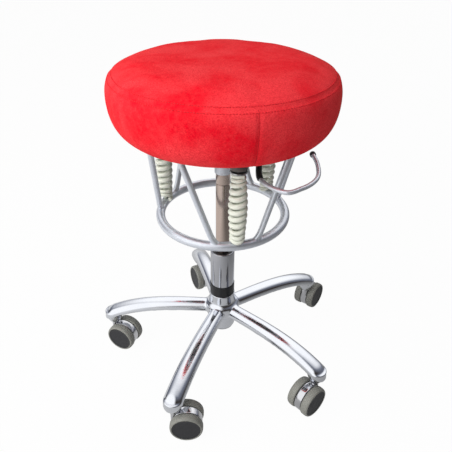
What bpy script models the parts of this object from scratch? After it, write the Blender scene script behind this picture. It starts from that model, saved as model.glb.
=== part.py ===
"""Ergonomic swing stool, modelled piece by piece in metres with +Z up.

A five-star base on twin-wheel casters carries a gas-spring column. A three-armed carrier sits on
the column and three barrel springs hang from it. They hold up a tube ring, and six legs join the
ring to the seat above, so the seat swings level like a parallel pendulum. The origin is on the
floor under the column. The -Y side is the front.
"""
import math

import bmesh
import bpy
from mathutils import Matrix
from mathutils import Vector

FIT = 0.0003
EDGE = 0.0006
LARGE_SIDES = 28
SMALL_SIDES = 14

# Height of the seat's crown above the floor, with the gas spring fully out
SEAT_HEIGHT = 0.667

# Casters
WHEEL_RADIUS = 0.0325
WHEEL_WIDTH = 0.017
WHEEL_EDGE = 0.005
WHEEL_DISC_RADIUS = 0.0285
WHEEL_DISC_RECESS = 0.0006
HOOD_WIDTH = 0.0152
HOOD_INSET = 0.002
AXLE_RADIUS = 0.004
CASTER_TRAIL = 0.024
STEM_RADIUS = 0.0055
STEM_LENGTH = 0.043
SHOULDER_DROP = 0.003
WHEEL_SIDES = 20
CASTER_HEADINGS = (-24.0, 0.0, 43.0, 53.0, -65.0)
CASTER_SIDES = (1, 1, -1, 1, 1)

# Five-star base
ARM_COUNT = 5
BASE_ANGLE = -93.5
STEM_CIRCLE_RADIUS = 0.248
TIP_RADIUS = 0.0205
TIP_FOOT_RADIUS = 0.0105
TIP_HEIGHT = 0.043
ARM_RISE = 0.032
ARM_CURVE = 3.2
ARM_HUB_WIDTH = 0.035
ARM_TIP_WIDTH = 0.041
ARM_DEPTH = 0.020
ARM_WALL = 0.004
ARM_STATIONS = 7
NOSE_STATIONS = 4
NOSE_ROUNDING = 0.85
NOSE_TURN = 80.0
NOSE_FLOOR = 0.0006
NOSE_CLEARANCE = 0.004
ARM_ARC_POINTS = 7
ARM_ROUNDNESS = 2.2
HUB_RADIUS = 0.036
HUB_COLLAR_RADIUS = 0.0273
HUB_COLLAR_HEIGHT = 0.0295
HUB_DEPTH = 0.061
HUB_BOSS_RADIUS = 0.0285

# Gas spring column
TUBE_RADIUS = 0.025
TUBE_WALL = 0.003
TUBE_EXPOSED = 0.1092
TUBE_FLOOR = 0.006
TUBE_BELOW_HUB = 0.004
BAND_HEIGHT = 0.0245
BAND_THICKNESS = 0.0007
BUSHING_LENGTH = 0.070
BUSHING_RECESS = 0.001
PISTON_RADIUS = 0.014
PISTON_BORE_RADIUS = 0.011
PISTON_OVERLAP = 0.066
PISTON_HEAD_LENGTH = 0.040
GROOVE_BELOW_CARRIER = 0.0224
GROOVE_SIZE = 0.0008
ROD_RADIUS = 0.005
ROD_HEAD_LENGTH = 0.015
ROD_TAIL = 0.004
BEARING_HEIGHT = 0.006
BEARING_RADIUS = 0.013
CLIP_RADIUS = 0.009
CLIP_HEIGHT = 0.002
RELEASE_PIN_RADIUS = 0.004
RELEASE_PIN_LENGTH = 0.034
RELEASE_PIN_STANDOUT = 0.0044

# Carrier and its three arms
CARRIER_WALL = 0.002
CARRIER_HEIGHT = 0.0745
CARRIER_ARM_WIDTH = 0.022
CARRIER_ARM_THICKNESS = 0.008
EYE_WALL = 0.0055
SPRING_COUNT = 3
SPRING_ANGLE = 12.0

# Spring hangers, studs and ball seats
BUSH_RADIUS = 0.0088
BUSH_HALF_HEIGHT = 0.005
HANGER_SHANK_RADIUS = 0.0035
HANGER_HEAD_RADIUS = 0.006
HANGER_HEAD_HEIGHT = 0.003
HANGER_HEAD_GAP = 0.00095
HANGER_PLAY = 0.00085
FLANGE_RADIUS = 0.015
FLANGE_HEIGHT = 0.003
FLANGE_GAP = 0.004
PLUG_LENGTH = 0.015
BALL_RADIUS = 0.005
BALL_ABOVE_RING_CENTRE = 0.002
STUD_RADIUS = 0.0026
STUD_PLAY = 0.00065
STUD_TAIL = 0.0038
SOCKET_MOUTH_PLAY = 0.0018

# Barrel springs
SPRING_LENGTH = 0.1334
WIRE_RADIUS = 0.0034
SPRING_NECK_RADIUS = 0.0125
SPRING_BELLY_RADIUS = 0.0170
SPRING_TURNS = 11.5
SPRING_END_TURNS = 2.0
SPRING_END_PITCH = 0.0078
POINTS_PER_TURN = 8

# Swing ring, legs and seat plate
RING_RADIUS = 0.122
RING_TUBE_RADIUS = 0.0088
RING_GAP = 0.003
RING_SEGMENTS = 40
RING_SIDES = 10
LEG_RADIUS = 0.0055
LEG_FOOT_ANGLE = 18.5
LEG_TOP_ANGLE = 42.5
LEG_TOP_RADIUS = 0.140
LEG_TOE_ANGLE = 8.0
LEG_BEND = 0.026
LEG_BEND_STEPS = 4
PLATE_GAP = 0.010
PLATE_THICKNESS = 0.003
PLATE_MARGIN = 0.0025

# Seat board and cushion
BOARD_THICKNESS = 0.0115
CUSHION_RADIUS = 0.2024
CUSHION_HEIGHT = 0.1255
CUSHION_BELLY_HEIGHT = 0.077
CUSHION_LOWER_FULLNESS = 2.05
CUSHION_CROWN_FULLNESS = 2.9
CUSHION_SKIN = 0.003
CUSHION_SEAM_ANGLE = 21.0
CUSHION_SEAM_DEPTH = 0.0015
CUSHION_STEPS = 48

# Release bow and rocker
LEVER_ANGLE = 62.0
PIVOT_REACH = 0.030
PIVOT_DROP = 0.006
PIVOT_PIN_RADIUS = 0.0025
ROCKER_WIDTH = 0.008
ROCKER_FINGER = 0.0038
ROCKER_TAIL = 0.007
ROCKER_BOSS_RADIUS = 0.0062
LUG_WIDTH = 0.004
LUG_OVERHANG = 0.0055
BOW_ROD_RADIUS = 0.004
BOW_SLEEVE_WALL = 0.0012
BOW_DROP = 0.0225
BOW_ARC_RADIUS = 0.195
BOW_ARC_START = 31.0
BOW_ARC_END = 58.0
BOW_SHOULDER_RADIUS = 0.135
BOW_SHOULDER_ANGLE = 27.3
BOW_NECK_RADIUS = 0.085
BOW_NECK_ANGLE = 45.0
BOW_END_RADIUS = 0.162
BOW_END_ANGLE = 84.0
BOW_CAP_LENGTH = 0.016

# Heights worked out from the sizes above, from the floor upwards
axle_z = WHEEL_RADIUS
shoulder_z = 2 * WHEEL_RADIUS - SHOULDER_DROP
tip_top_z = shoulder_z + TIP_HEIGHT
arm_top_z = tip_top_z + ARM_RISE
hub_top_z = arm_top_z + HUB_COLLAR_HEIGHT
hub_bottom_z = arm_top_z - HUB_DEPTH
tube_top_z = hub_top_z + TUBE_EXPOSED
tube_bottom_z = hub_bottom_z - TUBE_BELOW_HUB
cushion_bottom_z = SEAT_HEIGHT - CUSHION_HEIGHT
plate_top_z = cushion_bottom_z
plate_bottom_z = plate_top_z - PLATE_THICKNESS
carrier_top_z = plate_bottom_z - PLATE_GAP
carrier_bottom_z = carrier_top_z - CARRIER_HEIGHT
hanger_z = carrier_top_z - CARRIER_ARM_THICKNESS / 2
flange_top_z = carrier_top_z - CARRIER_ARM_THICKNESS - FLANGE_GAP
spring_top_z = flange_top_z - FLANGE_HEIGHT - FIT
spring_bottom_z = spring_top_z - SPRING_LENGTH
ring_z = spring_bottom_z - RING_GAP - RING_TUBE_RADIUS
ball_z = ring_z + BALL_ABOVE_RING_CENTRE
board_bottom_z = plate_top_z + FIT
board_top_z = board_bottom_z + BOARD_THICKNESS
pivot_z = carrier_top_z - PIVOT_DROP
pin_top_z = carrier_top_z + RELEASE_PIN_STANDOUT

# Radii worked out from the sizes above
plate_radius = LEG_TOP_RADIUS + LEG_RADIUS + PLATE_MARGIN
board_radius = plate_radius - CUSHION_SKIN
cushion_foot_radius = board_radius + FIT + CUSHION_SKIN
carrier_bore_radius = PISTON_RADIUS + FIT
carrier_radius = carrier_bore_radius + CARRIER_WALL
eye_bore_radius = BUSH_RADIUS + FIT
coil_inner_radius = (SPRING_NECK_RADIUS - WIRE_RADIUS) * math.cos(math.pi / POINTS_PER_TURN) - WIRE_RADIUS
plug_radius = coil_inner_radius - FIT

# Colours as linear RGB, with metallic and roughness
FINISHES = {
    "polished_aluminium": ((0.80, 0.81, 0.83), 1.0, 0.16),
    "chrome": ((0.62, 0.62, 0.64), 1.0, 0.10),
    "silver_lacquer": ((0.55, 0.56, 0.60), 0.9, 0.32),
    "zinc_steel": ((0.50, 0.50, 0.50), 1.0, 0.40),
    "black_plastic": ((0.012, 0.012, 0.013), 0.0, 0.45),
    "cream_coating": ((0.74, 0.73, 0.62), 0.0, 0.45),
    "grey_tread": ((0.30, 0.30, 0.26), 0.0, 0.55),
    "birch_plywood": ((0.55, 0.40, 0.24), 0.0, 0.65),
    "red_microfibre": ((0.80, 0.025, 0.035), 0.0, 0.85),
}

for old in list(bpy.data.objects):
    bpy.data.objects.remove(old, do_unlink=True)

parts = bpy.data.collections.new("Ergonomic_Stool")
cutters = bpy.data.collections.new("Cutters")
bpy.context.scene.collection.children.link(parts)
bpy.context.scene.collection.children.link(cutters)
materials = {}


def finish(name):
    if name not in materials:
        colour, metallic, roughness = FINISHES[name]
        made = bpy.data.materials.new(name)
        made.use_nodes = True
        shader = made.node_tree.nodes["Principled BSDF"]
        shader.inputs["Base Color"].default_value = (*colour, 1.0)
        shader.inputs["Metallic"].default_value = metallic
        shader.inputs["Roughness"].default_value = roughness
        materials[name] = made
    return materials[name]


def place(name, data, finish_name, at=Vector(), turn=Matrix.Identity(3)):
    """Link an object as a part, or as a hidden cutter where no finish is named."""
    made = bpy.data.objects.new(name, data)
    made.matrix_world = Matrix.Translation(at) @ turn.to_4x4()
    if finish_name is None:
        cutters.objects.link(made)
        made.hide_render = True
        made.display_type = "WIRE"
    else:
        parts.objects.link(made)
        data.materials.append(finish(finish_name))
    return made


def polar(radius, angle, z=0.0):
    """A point at a radius and an angle in degrees, measured from the front towards +X."""
    return Vector((radius * math.sin(math.radians(angle)), -radius * math.cos(math.radians(angle)), z))


def turned(name, profile, steps, finish_name, at=Vector(), turn=Matrix.Identity(3), ring=False):
    """A profile of (radius, height) points, run down its outer side, spun about its own Z axis."""
    mesh = bpy.data.meshes.new(name)
    edges = [(i, i + 1) for i in range(len(profile) - 1)]
    if ring:
        edges.append((len(profile) - 1, 0))
    mesh.from_pydata([(radius, 0.0, height) for radius, height in profile], edges, [])
    made = place(name, mesh, finish_name, at, turn)
    spin = made.modifiers.new("Spin", "SCREW")
    spin.axis = "Z"
    spin.angle = math.tau
    spin.steps = steps
    spin.render_steps = steps
    spin.use_merge_vertices = True
    spin.merge_threshold = 0.00001
    spin.use_smooth_shade = True
    return made


def cylinder(name, radius, depth, sides, finish_name, at=Vector(), turn=Matrix.Identity(3)):
    mesh = bpy.data.meshes.new(name)
    work = bmesh.new()
    bmesh.ops.create_cone(work, cap_ends=True, segments=sides, radius1=radius, radius2=radius, depth=depth)
    work.to_mesh(mesh)
    work.free()
    return place(name, mesh, finish_name, at, turn)


def block(name, size, finish_name, at=Vector(), turn=Matrix.Identity(3)):
    mesh = bpy.data.meshes.new(name)
    work = bmesh.new()
    bmesh.ops.create_cube(work, size=1.0)
    bmesh.ops.scale(work, vec=size, verts=work.verts)
    work.to_mesh(mesh)
    work.free()
    return place(name, mesh, finish_name, at, turn)


def torus(name, radius, tube_radius, finish_name, at=Vector()):
    around = []
    for i in range(RING_SIDES):
        turn = math.tau * i / RING_SIDES
        around.append((radius + tube_radius * math.cos(turn), tube_radius * math.sin(turn)))
    return turned(name, around[::-1], RING_SEGMENTS, finish_name, at, ring=True)


def combine(target, other, operation):
    change = target.modifiers.new(operation.title(), "BOOLEAN")
    change.operation = operation
    change.solver = "EXACT"
    change.object = other


def tube(name, points, radius, finish_name, resolution=1, spline_type="POLY"):
    """A round rod along points, as a curve with filled caps."""
    curve = bpy.data.curves.new(name, "CURVE")
    curve.dimensions = "3D"
    curve.bevel_depth = radius
    curve.bevel_resolution = resolution
    curve.use_fill_caps = True
    line = curve.splines.new(spline_type)
    line.points.add(len(points) - 1)
    for point, where in zip(line.points, points):
        point.co = (*where, 1.0)
    return place(name, curve, finish_name)


def merged_mesh(guide):
    """The mesh of a guide curve with its caps welded on. The guide itself is removed."""
    mesh = bpy.data.meshes.new_from_object(guide.evaluated_get(bpy.context.evaluated_depsgraph_get()))
    bpy.data.objects.remove(guide, do_unlink=True)
    work = bmesh.new()
    work.from_mesh(mesh)
    bmesh.ops.remove_doubles(work, verts=work.verts, dist=0.00001)
    bmesh.ops.recalc_face_normals(work, faces=work.faces)
    work.to_mesh(mesh)
    work.free()
    mesh.materials.clear()
    return mesh


def solid_rod(name, points, radius, finish_name):
    """A round rod along points, as a mesh that a boolean can cut."""
    return place(name, merged_mesh(tube(f"{name}_guide", points, radius, None, 2)), finish_name)


def heading(angle):
    """A turn about Z that faces local -Y towards an angle measured from the front."""
    return Matrix.Rotation(math.radians(angle), 3, "Z")


def lying(angle):
    """A turn that lays local Z along the horizontal direction at an angle from the front."""
    return heading(angle) @ Matrix.Rotation(math.radians(90), 3, "X")


def smooth_path(points, steps):
    """Points along a Catmull-Rom curve through the given ones."""
    ends = [points[0] * 2 - points[1], *points, points[-1] * 2 - points[-2]]
    path = []
    for before, start, end, after in zip(ends, ends[1:], ends[2:], ends[3:]):
        for i in range(steps):
            t = i / steps
            path.append(
                0.5 * (2 * start + (end - before) * t
                       + (2 * before - 5 * start + 4 * end - after) * t ** 2
                       + (3 * start - before - 3 * end + after) * t ** 3)
            )
    path.append(points[-1])
    return path


def caster(number, angle, face, side):
    """Hood with its axle, stem and two wheels, trailing behind a stem on the base's circle."""
    stem_at = polar(STEM_CIRCLE_RADIUS, angle)
    turn = heading(face)
    along = turn @ Vector((1.0, 0.0, 0.0))
    axle_at = stem_at + along * side * CASTER_TRAIL + Vector((0.0, 0.0, axle_z))
    inner = HOOD_WIDTH / 2 + 2 * FIT
    axle_length = 2 * (inner + WHEEL_WIDTH * 0.8)

    hood_radius = WHEEL_RADIUS - HOOD_INSET
    hood = cylinder(f"caster_hood_{number}", hood_radius, HOOD_WIDTH, LARGE_SIDES, "chrome", axle_at,
                    lying(face))
    axle = cylinder(f"axle_{number}", AXLE_RADIUS, axle_length, SMALL_SIDES, None, axle_at, lying(face))
    neck_top = shoulder_z - FIT
    neck_height = neck_top - axle_z
    neck_at = stem_at + Vector((0.0, 0.0, axle_z + neck_height / 2))
    neck = cylinder(f"neck_{number}", HOOD_WIDTH / 2 - FIT, neck_height, SMALL_SIDES, None, neck_at)
    bore_depth = STEM_LENGTH / 3 + FIT
    bore = cylinder(f"stem_bore_{number}", STEM_RADIUS + FIT, 2 * bore_depth, SMALL_SIDES, None,
                    stem_at + Vector((0.0, 0.0, neck_top)))
    combine(hood, axle, "UNION")
    combine(hood, neck, "UNION")
    combine(hood, bore, "DIFFERENCE")

    stem_bottom = neck_top - STEM_LENGTH / 3
    cylinder(f"caster_stem_{number}", STEM_RADIUS, STEM_LENGTH, SMALL_SIDES, "zinc_steel",
             stem_at + Vector((0.0, 0.0, stem_bottom + STEM_LENGTH / 2)))

    facet_radius = WHEEL_RADIUS / math.cos(math.pi / WHEEL_SIDES)
    bore_radius = AXLE_RADIUS + FIT
    bore_end = axle_length / 2 + FIT
    outer = inner + WHEEL_WIDTH
    wheel_profile = [
        (0.0, outer - WHEEL_DISC_RECESS),
        (WHEEL_DISC_RADIUS, outer - WHEEL_DISC_RECESS),
        (WHEEL_DISC_RADIUS, outer),
        (facet_radius - WHEEL_EDGE * 0.35, outer - WHEEL_EDGE * 0.25),
        (facet_radius, outer - WHEEL_EDGE),
        (facet_radius, inner),
        (bore_radius, inner),
        (bore_radius, bore_end),
        (0.0, bore_end),
    ]
    half_facet = Matrix.Rotation(math.pi / WHEEL_SIDES, 3, "Z")
    for word, flip in (("left", 180.0), ("right", 0.0)):
        turned(f"caster_wheel_{number}_{word}", wheel_profile, WHEEL_SIDES, "grey_tread", axle_at,
               lying(face + flip) @ half_facet)


def arm_section(reach, top_z, depth, half_width, wall_share, channel):
    """A channel section, open below: an outer arch and an inner one that is as high as the channel."""
    points = []
    arches = ((half_width, depth, False), (half_width * (1.0 - wall_share), channel, True))
    for width, height, back in arches:
        arch = []
        for i in range(ARM_ARC_POINTS):
            angle = math.pi * i / (ARM_ARC_POINTS - 1)
            side = math.copysign(abs(math.cos(angle)) ** (2 / ARM_ROUNDNESS), math.cos(angle))
            rise = height * abs(math.sin(angle)) ** (2 / ARM_ROUNDNESS)
            arch.append((reach, width * side, top_z - depth + rise))
        points += arch[::-1] if back else arch
    return points


def base_arm(number, angle):
    """One arched arm lofted from the hub, with a channel below, to a solid rounded nose over its caster."""
    start = HUB_RADIUS * 0.82
    reaches = []
    for i in range(ARM_STATIONS):
        reaches.append(start + (STEM_CIRCLE_RADIUS - start) * (i / (ARM_STATIONS - 1)) ** 0.75)
    for i in range(NOSE_STATIONS):
        turn = math.radians(NOSE_TURN * (i + 1) / NOSE_STATIONS)
        reaches.append(STEM_CIRCLE_RADIUS + TIP_RADIUS * math.sin(turn))
    work = bmesh.new()
    rings = []
    for reach in reaches:
        share = (reach - start) / (STEM_CIRCLE_RADIUS - start)
        half_width = (ARM_HUB_WIDTH + (ARM_TIP_WIDTH - ARM_HUB_WIDTH) * min(share, 1.0)) / 2
        beyond = max(reach - STEM_CIRCLE_RADIUS, 0.0) / TIP_RADIUS
        half_width *= math.sqrt(1.0 - beyond ** 2)
        in_boss = reach > STEM_CIRCLE_RADIUS - TIP_RADIUS
        channel = NOSE_FLOOR if in_boss else ARM_DEPTH - ARM_WALL
        wall_share = min(ARM_WALL / half_width, 0.5)
        top_z = arm_top_z - ARM_RISE * share ** ARM_CURVE
        depth = min(ARM_DEPTH, top_z - 2 * WHEEL_RADIUS - NOSE_CLEARANCE)
        foot_z = top_z - depth
        depth *= math.sqrt(1.0 - NOSE_ROUNDING * beyond ** 2)
        section = arm_section(reach, foot_z + depth, depth, half_width, wall_share, channel)
        rings.append([work.verts.new(point) for point in section])
    for first, second in zip(rings, rings[1:]):
        for i in range(len(first)):
            j = (i + 1) % len(first)
            work.faces.new((first[i], first[j], second[j], second[i]))
    work.faces.new(rings[0][::-1])
    work.faces.new(rings[-1])
    bmesh.ops.recalc_face_normals(work, faces=work.faces)
    mesh = bpy.data.meshes.new(f"arm_{number}")
    work.to_mesh(mesh)
    work.free()
    outwards = heading(angle) @ Matrix.Rotation(-math.pi / 2, 3, "Z")
    return place(f"arm_{number}", mesh, None, Vector(), outwards)


def base_star():
    bore = TUBE_RADIUS + FIT
    hub_profile = [
        (HUB_COLLAR_RADIUS - EDGE, hub_top_z),
        (HUB_COLLAR_RADIUS, hub_top_z - EDGE),
        (HUB_COLLAR_RADIUS, arm_top_z + HUB_COLLAR_HEIGHT * 0.4),
        ((HUB_COLLAR_RADIUS + HUB_RADIUS) / 2, arm_top_z + HUB_COLLAR_HEIGHT * 0.08),
        (HUB_RADIUS, arm_top_z - ARM_DEPTH * 0.15),
        (HUB_RADIUS, arm_top_z - ARM_DEPTH * 1.1),
        (HUB_BOSS_RADIUS, arm_top_z - ARM_DEPTH * 1.6),
        (HUB_BOSS_RADIUS - EDGE, hub_bottom_z),
        (bore, hub_bottom_z),
        (bore, hub_top_z),
    ]
    star = turned("base_star", hub_profile, LARGE_SIDES, "polished_aluminium", ring=True)
    boss_top = tip_top_z - ARM_DEPTH * 0.6
    boss_profile = [
        (0.0, boss_top),
        (TIP_RADIUS * 0.88, boss_top),
        (TIP_RADIUS * 0.86, boss_top - (boss_top - shoulder_z) * 0.35),
        ((TIP_RADIUS + TIP_FOOT_RADIUS) * 0.48, boss_top - (boss_top - shoulder_z) * 0.75),
        (TIP_FOOT_RADIUS, shoulder_z),
        (0.0, shoulder_z),
    ]
    bore_depth = STEM_LENGTH * 2 / 3 + FIT
    for i in range(ARM_COUNT):
        angle = BASE_ANGLE + i * 360.0 / ARM_COUNT
        arm = base_arm(i + 1, angle)
        boss = turned(f"arm_boss_{i + 1}", boss_profile, SMALL_SIDES, None, polar(STEM_CIRCLE_RADIUS, angle))
        bore_at = polar(STEM_CIRCLE_RADIUS, angle, shoulder_z)
        stem_bore = cylinder(f"tip_bore_{i + 1}", STEM_RADIUS + FIT, 2 * bore_depth, SMALL_SIDES, None,
                             bore_at)
        combine(arm, boss, "UNION")
        combine(arm, stem_bore, "DIFFERENCE")
        combine(star, arm, "UNION")
        caster(i + 1, angle, CASTER_HEADINGS[i], CASTER_SIDES[i])


def gas_column():
    bore = TUBE_RADIUS - TUBE_WALL
    turned("column_tube", [
        (bore, tube_top_z),
        (TUBE_RADIUS - EDGE, tube_top_z),
        (TUBE_RADIUS, tube_top_z - EDGE),
        (TUBE_RADIUS, tube_bottom_z),
        (ROD_RADIUS + FIT, tube_bottom_z),
        (ROD_RADIUS + FIT, tube_bottom_z + TUBE_FLOOR),
        (bore, tube_bottom_z + TUBE_FLOOR),
    ], LARGE_SIDES, "chrome", ring=True)
    band_inner = TUBE_RADIUS + FIT
    turned("column_band", [
        (band_inner, hub_top_z + FIT + BAND_HEIGHT),
        (band_inner + BAND_THICKNESS, hub_top_z + FIT + BAND_HEIGHT),
        (band_inner + BAND_THICKNESS, hub_top_z + FIT),
        (band_inner, hub_top_z + FIT),
    ], LARGE_SIDES, "black_plastic", ring=True)
    bushing_top = tube_top_z - BUSHING_RECESS
    turned("guide_bushing", [
        (PISTON_RADIUS + FIT, bushing_top),
        (bore - FIT, bushing_top),
        (bore - FIT, bushing_top - BUSHING_LENGTH),
        (PISTON_RADIUS + FIT, bushing_top - BUSHING_LENGTH),
    ], LARGE_SIDES, "black_plastic", ring=True)

    piston_bottom = tube_top_z - PISTON_OVERLAP
    groove_z = carrier_bottom_z - GROOVE_BELOW_CARRIER
    head_bottom = carrier_top_z - PISTON_HEAD_LENGTH
    turned("piston_tube", [
        (RELEASE_PIN_RADIUS + FIT, carrier_top_z),
        (PISTON_RADIUS, carrier_top_z),
        (PISTON_RADIUS, groove_z + GROOVE_SIZE),
        (PISTON_RADIUS - GROOVE_SIZE, groove_z),
        (PISTON_RADIUS, groove_z - GROOVE_SIZE),
        (PISTON_RADIUS, piston_bottom),
        (PISTON_BORE_RADIUS, piston_bottom),
        (PISTON_BORE_RADIUS, head_bottom),
        (RELEASE_PIN_RADIUS + FIT, head_bottom),
    ], LARGE_SIDES, "chrome", ring=True)
    rod_head = PISTON_BORE_RADIUS - FIT
    rod_top = piston_bottom + 2 * ROD_HEAD_LENGTH
    turned("piston_rod", [
        (0.0, rod_top),
        (rod_head, rod_top),
        (rod_head, rod_top - ROD_HEAD_LENGTH),
        (ROD_RADIUS, rod_top - ROD_HEAD_LENGTH),
        (ROD_RADIUS, tube_bottom_z - ROD_TAIL),
        (0.0, tube_bottom_z - ROD_TAIL),
    ], SMALL_SIDES, "zinc_steel")
    bearing_bottom = tube_bottom_z + TUBE_FLOOR + FIT
    turned("thrust_bearing", [
        (ROD_RADIUS + FIT, bearing_bottom + BEARING_HEIGHT),
        (BEARING_RADIUS, bearing_bottom + BEARING_HEIGHT),
        (BEARING_RADIUS, bearing_bottom),
        (ROD_RADIUS + FIT, bearing_bottom),
    ], SMALL_SIDES, "zinc_steel", ring=True)
    clip_top = tube_bottom_z - FIT
    turned("rod_clip", [
        (ROD_RADIUS + FIT, clip_top),
        (CLIP_RADIUS, clip_top),
        (CLIP_RADIUS, clip_top - CLIP_HEIGHT),
        (ROD_RADIUS + FIT, clip_top - CLIP_HEIGHT),
    ], SMALL_SIDES, "zinc_steel", ring=True)
    cylinder("release_pin", RELEASE_PIN_RADIUS, RELEASE_PIN_LENGTH, SMALL_SIDES, "zinc_steel",
             Vector((0.0, 0.0, pin_top_z - RELEASE_PIN_LENGTH / 2)))


def carrier():
    """Sleeve on the gas spring's cone with three arms, each ending in an eye, and the pivot lugs."""
    hub = turned("carrier", [
        (carrier_bore_radius, carrier_top_z),
        (carrier_radius, carrier_top_z),
        (carrier_radius, carrier_bottom_z),
        (carrier_bore_radius, carrier_bottom_z),
    ], LARGE_SIDES, "silver_lacquer", ring=True)
    eye_radius = eye_bore_radius + EYE_WALL
    arm_start = carrier_bore_radius + CARRIER_WALL / 2
    arm_length = RING_RADIUS - eye_bore_radius - EYE_WALL / 2 - arm_start
    for i in range(SPRING_COUNT):
        angle = SPRING_ANGLE + i * 360.0 / SPRING_COUNT
        arm_at = polar(arm_start + arm_length / 2, angle, hanger_z)
        arm_size = (CARRIER_ARM_WIDTH, arm_length, CARRIER_ARM_THICKNESS)
        combine(hub, block(f"carrier_arm_{i + 1}", arm_size, None, arm_at, heading(angle)), "UNION")
        eye_at = polar(RING_RADIUS, angle, hanger_z)
        eye = cylinder(f"carrier_eye_{i + 1}", eye_radius, CARRIER_ARM_THICKNESS, LARGE_SIDES, None, eye_at)
        combine(hub, eye, "UNION")
        eye_bore = cylinder(f"eye_bore_{i + 1}", eye_bore_radius, 2 * CARRIER_ARM_THICKNESS, LARGE_SIDES,
                            None, eye_at)
        combine(hub, eye_bore, "DIFFERENCE")

    turn = heading(LEVER_ANGLE)
    lug_bottom = pivot_z - LUG_OVERHANG
    lug_height = carrier_top_z - lug_bottom
    lug_length = PIVOT_REACH + LUG_OVERHANG - arm_start
    sideways = turn @ Vector((1.0, 0.0, 0.0))
    lug_middle = polar(arm_start + lug_length / 2, LEVER_ANGLE, lug_bottom + lug_height / 2)
    lug_offset = ROCKER_WIDTH / 2 + FIT + LUG_WIDTH / 2
    for word, side in (("left", -1), ("right", 1)):
        lug_at = lug_middle + sideways * side * lug_offset
        combine(hub, block(f"lug_{word}", (LUG_WIDTH, lug_length, lug_height), None, lug_at, turn), "UNION")
    pin_length = 2 * (lug_offset + LUG_WIDTH / 2)
    pin_at = polar(PIVOT_REACH, LEVER_ANGLE, pivot_z)
    crosswise = lying(LEVER_ANGLE + 90.0)
    pin_bore = cylinder("pin_bore", PIVOT_PIN_RADIUS + FIT, 2 * pin_length, SMALL_SIDES, None, pin_at,
                        crosswise)
    combine(hub, pin_bore, "DIFFERENCE")
    cylinder("rocker_pin", PIVOT_PIN_RADIUS, pin_length, SMALL_SIDES, "zinc_steel", pin_at, crosswise)


def release_lever():
    """Rocker over the release pin, and the bent bow with its black sleeve and end cap."""
    finger_z = pin_top_z + FIT
    boss = ROCKER_BOSS_RADIUS
    inner_edge = PIVOT_REACH - boss
    outline = [
        (-ROCKER_TAIL, finger_z),
        (-ROCKER_TAIL, finger_z + ROCKER_FINGER),
        (inner_edge, finger_z + ROCKER_FINGER),
        (PIVOT_REACH + boss, pivot_z + boss),
        (PIVOT_REACH + 2 * boss, pivot_z + boss),
        (PIVOT_REACH + 2 * boss, pivot_z - boss),
        (PIVOT_REACH - boss * 0.6, pivot_z - boss),
        (inner_edge, pivot_z),
        (inner_edge, finger_z),
    ]
    curve = bpy.data.curves.new("rocker_outline", "CURVE")
    curve.dimensions = "2D"
    curve.fill_mode = "BOTH"
    curve.extrude = ROCKER_WIDTH / 2
    line = curve.splines.new("POLY")
    line.points.add(len(outline) - 1)
    for point, (reach, height) in zip(line.points, outline):
        point.co = (reach, height, 0.0, 1.0)
    line.use_cyclic_u = True
    guide = place("rocker_guide", curve, None)
    upright = Matrix.Rotation(math.radians(90.0), 3, "X")
    sideways = Matrix.Rotation(math.radians(LEVER_ANGLE - 90.0), 3, "Z")
    rocker = place("release_rocker", merged_mesh(guide), "zinc_steel", Vector(), sideways @ upright)
    pin_at = polar(PIVOT_REACH, LEVER_ANGLE, pivot_z)
    bore = cylinder("rocker_bore", PIVOT_PIN_RADIUS + FIT, 2 * ROCKER_WIDTH, SMALL_SIDES, None, pin_at,
                    lying(LEVER_ANGLE + 90.0))
    combine(rocker, bore, "DIFFERENCE")

    low_z = pivot_z - BOW_DROP
    root = polar(PIVOT_REACH + 2 * boss + FIT, LEVER_ANGLE, pivot_z)
    route = [root + polar(boss, LEVER_ANGLE)]
    route.append(polar(BOW_NECK_RADIUS, BOW_NECK_ANGLE, pivot_z - BOW_DROP * 0.55))
    route.append(polar(BOW_SHOULDER_RADIUS, BOW_SHOULDER_ANGLE, low_z))
    arc_count = 4
    for i in range(arc_count):
        angle = BOW_ARC_START + (BOW_ARC_END - BOW_ARC_START) * i / (arc_count - 1)
        rise = math.sin(math.pi * (i + 0.5) / arc_count)
        route.append(polar(BOW_ARC_RADIUS - (1 - rise) * BOW_ROD_RADIUS * 3, angle, low_z))
    route.append(polar((BOW_ARC_RADIUS + 2 * BOW_END_RADIUS) / 3, (BOW_ARC_END + BOW_END_ANGLE) / 2, low_z))
    route.append(polar(BOW_END_RADIUS, BOW_END_ANGLE, low_z))
    path_steps = 4
    path = [root, *smooth_path(route, path_steps)]
    tube("release_bow", path, BOW_ROD_RADIUS, "silver_lacquer", 2)
    sleeve_path = path[path_steps:2 * path_steps + 2]
    hollow_sleeve("bow_sleeve", sleeve_path)
    tail = (path[-1] - path[-2]).normalized()
    cap_turn = Vector((0.0, 0.0, 1.0)).rotation_difference(tail).to_matrix()
    grip = BOW_ROD_RADIUS + FIT
    cap_outer = grip + BOW_SLEEVE_WALL
    turned("bow_end_cap", [
        (0.0, FIT + BOW_SLEEVE_WALL),
        (cap_outer * 0.7, FIT + BOW_SLEEVE_WALL),
        (cap_outer, FIT),
        (cap_outer, -BOW_CAP_LENGTH * 0.4),
        (grip, -BOW_CAP_LENGTH * 0.4),
        (grip, FIT),
        (0.0, FIT),
    ], SMALL_SIDES, "black_plastic", path[-1], cap_turn)


def hollow_sleeve(name, path):
    """A soft sleeve round a stretch of the bow: a fat rod with the bow's path cut out of it."""
    sleeve = solid_rod(name, path, BOW_ROD_RADIUS + FIT + BOW_SLEEVE_WALL, "black_plastic")
    first = path[0] * 2 - path[1]
    last = path[-1] * 2 - path[-2]
    bore = solid_rod(f"{name}_bore", [first, *path, last], BOW_ROD_RADIUS + FIT, None)
    combine(sleeve, bore, "DIFFERENCE")


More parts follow.
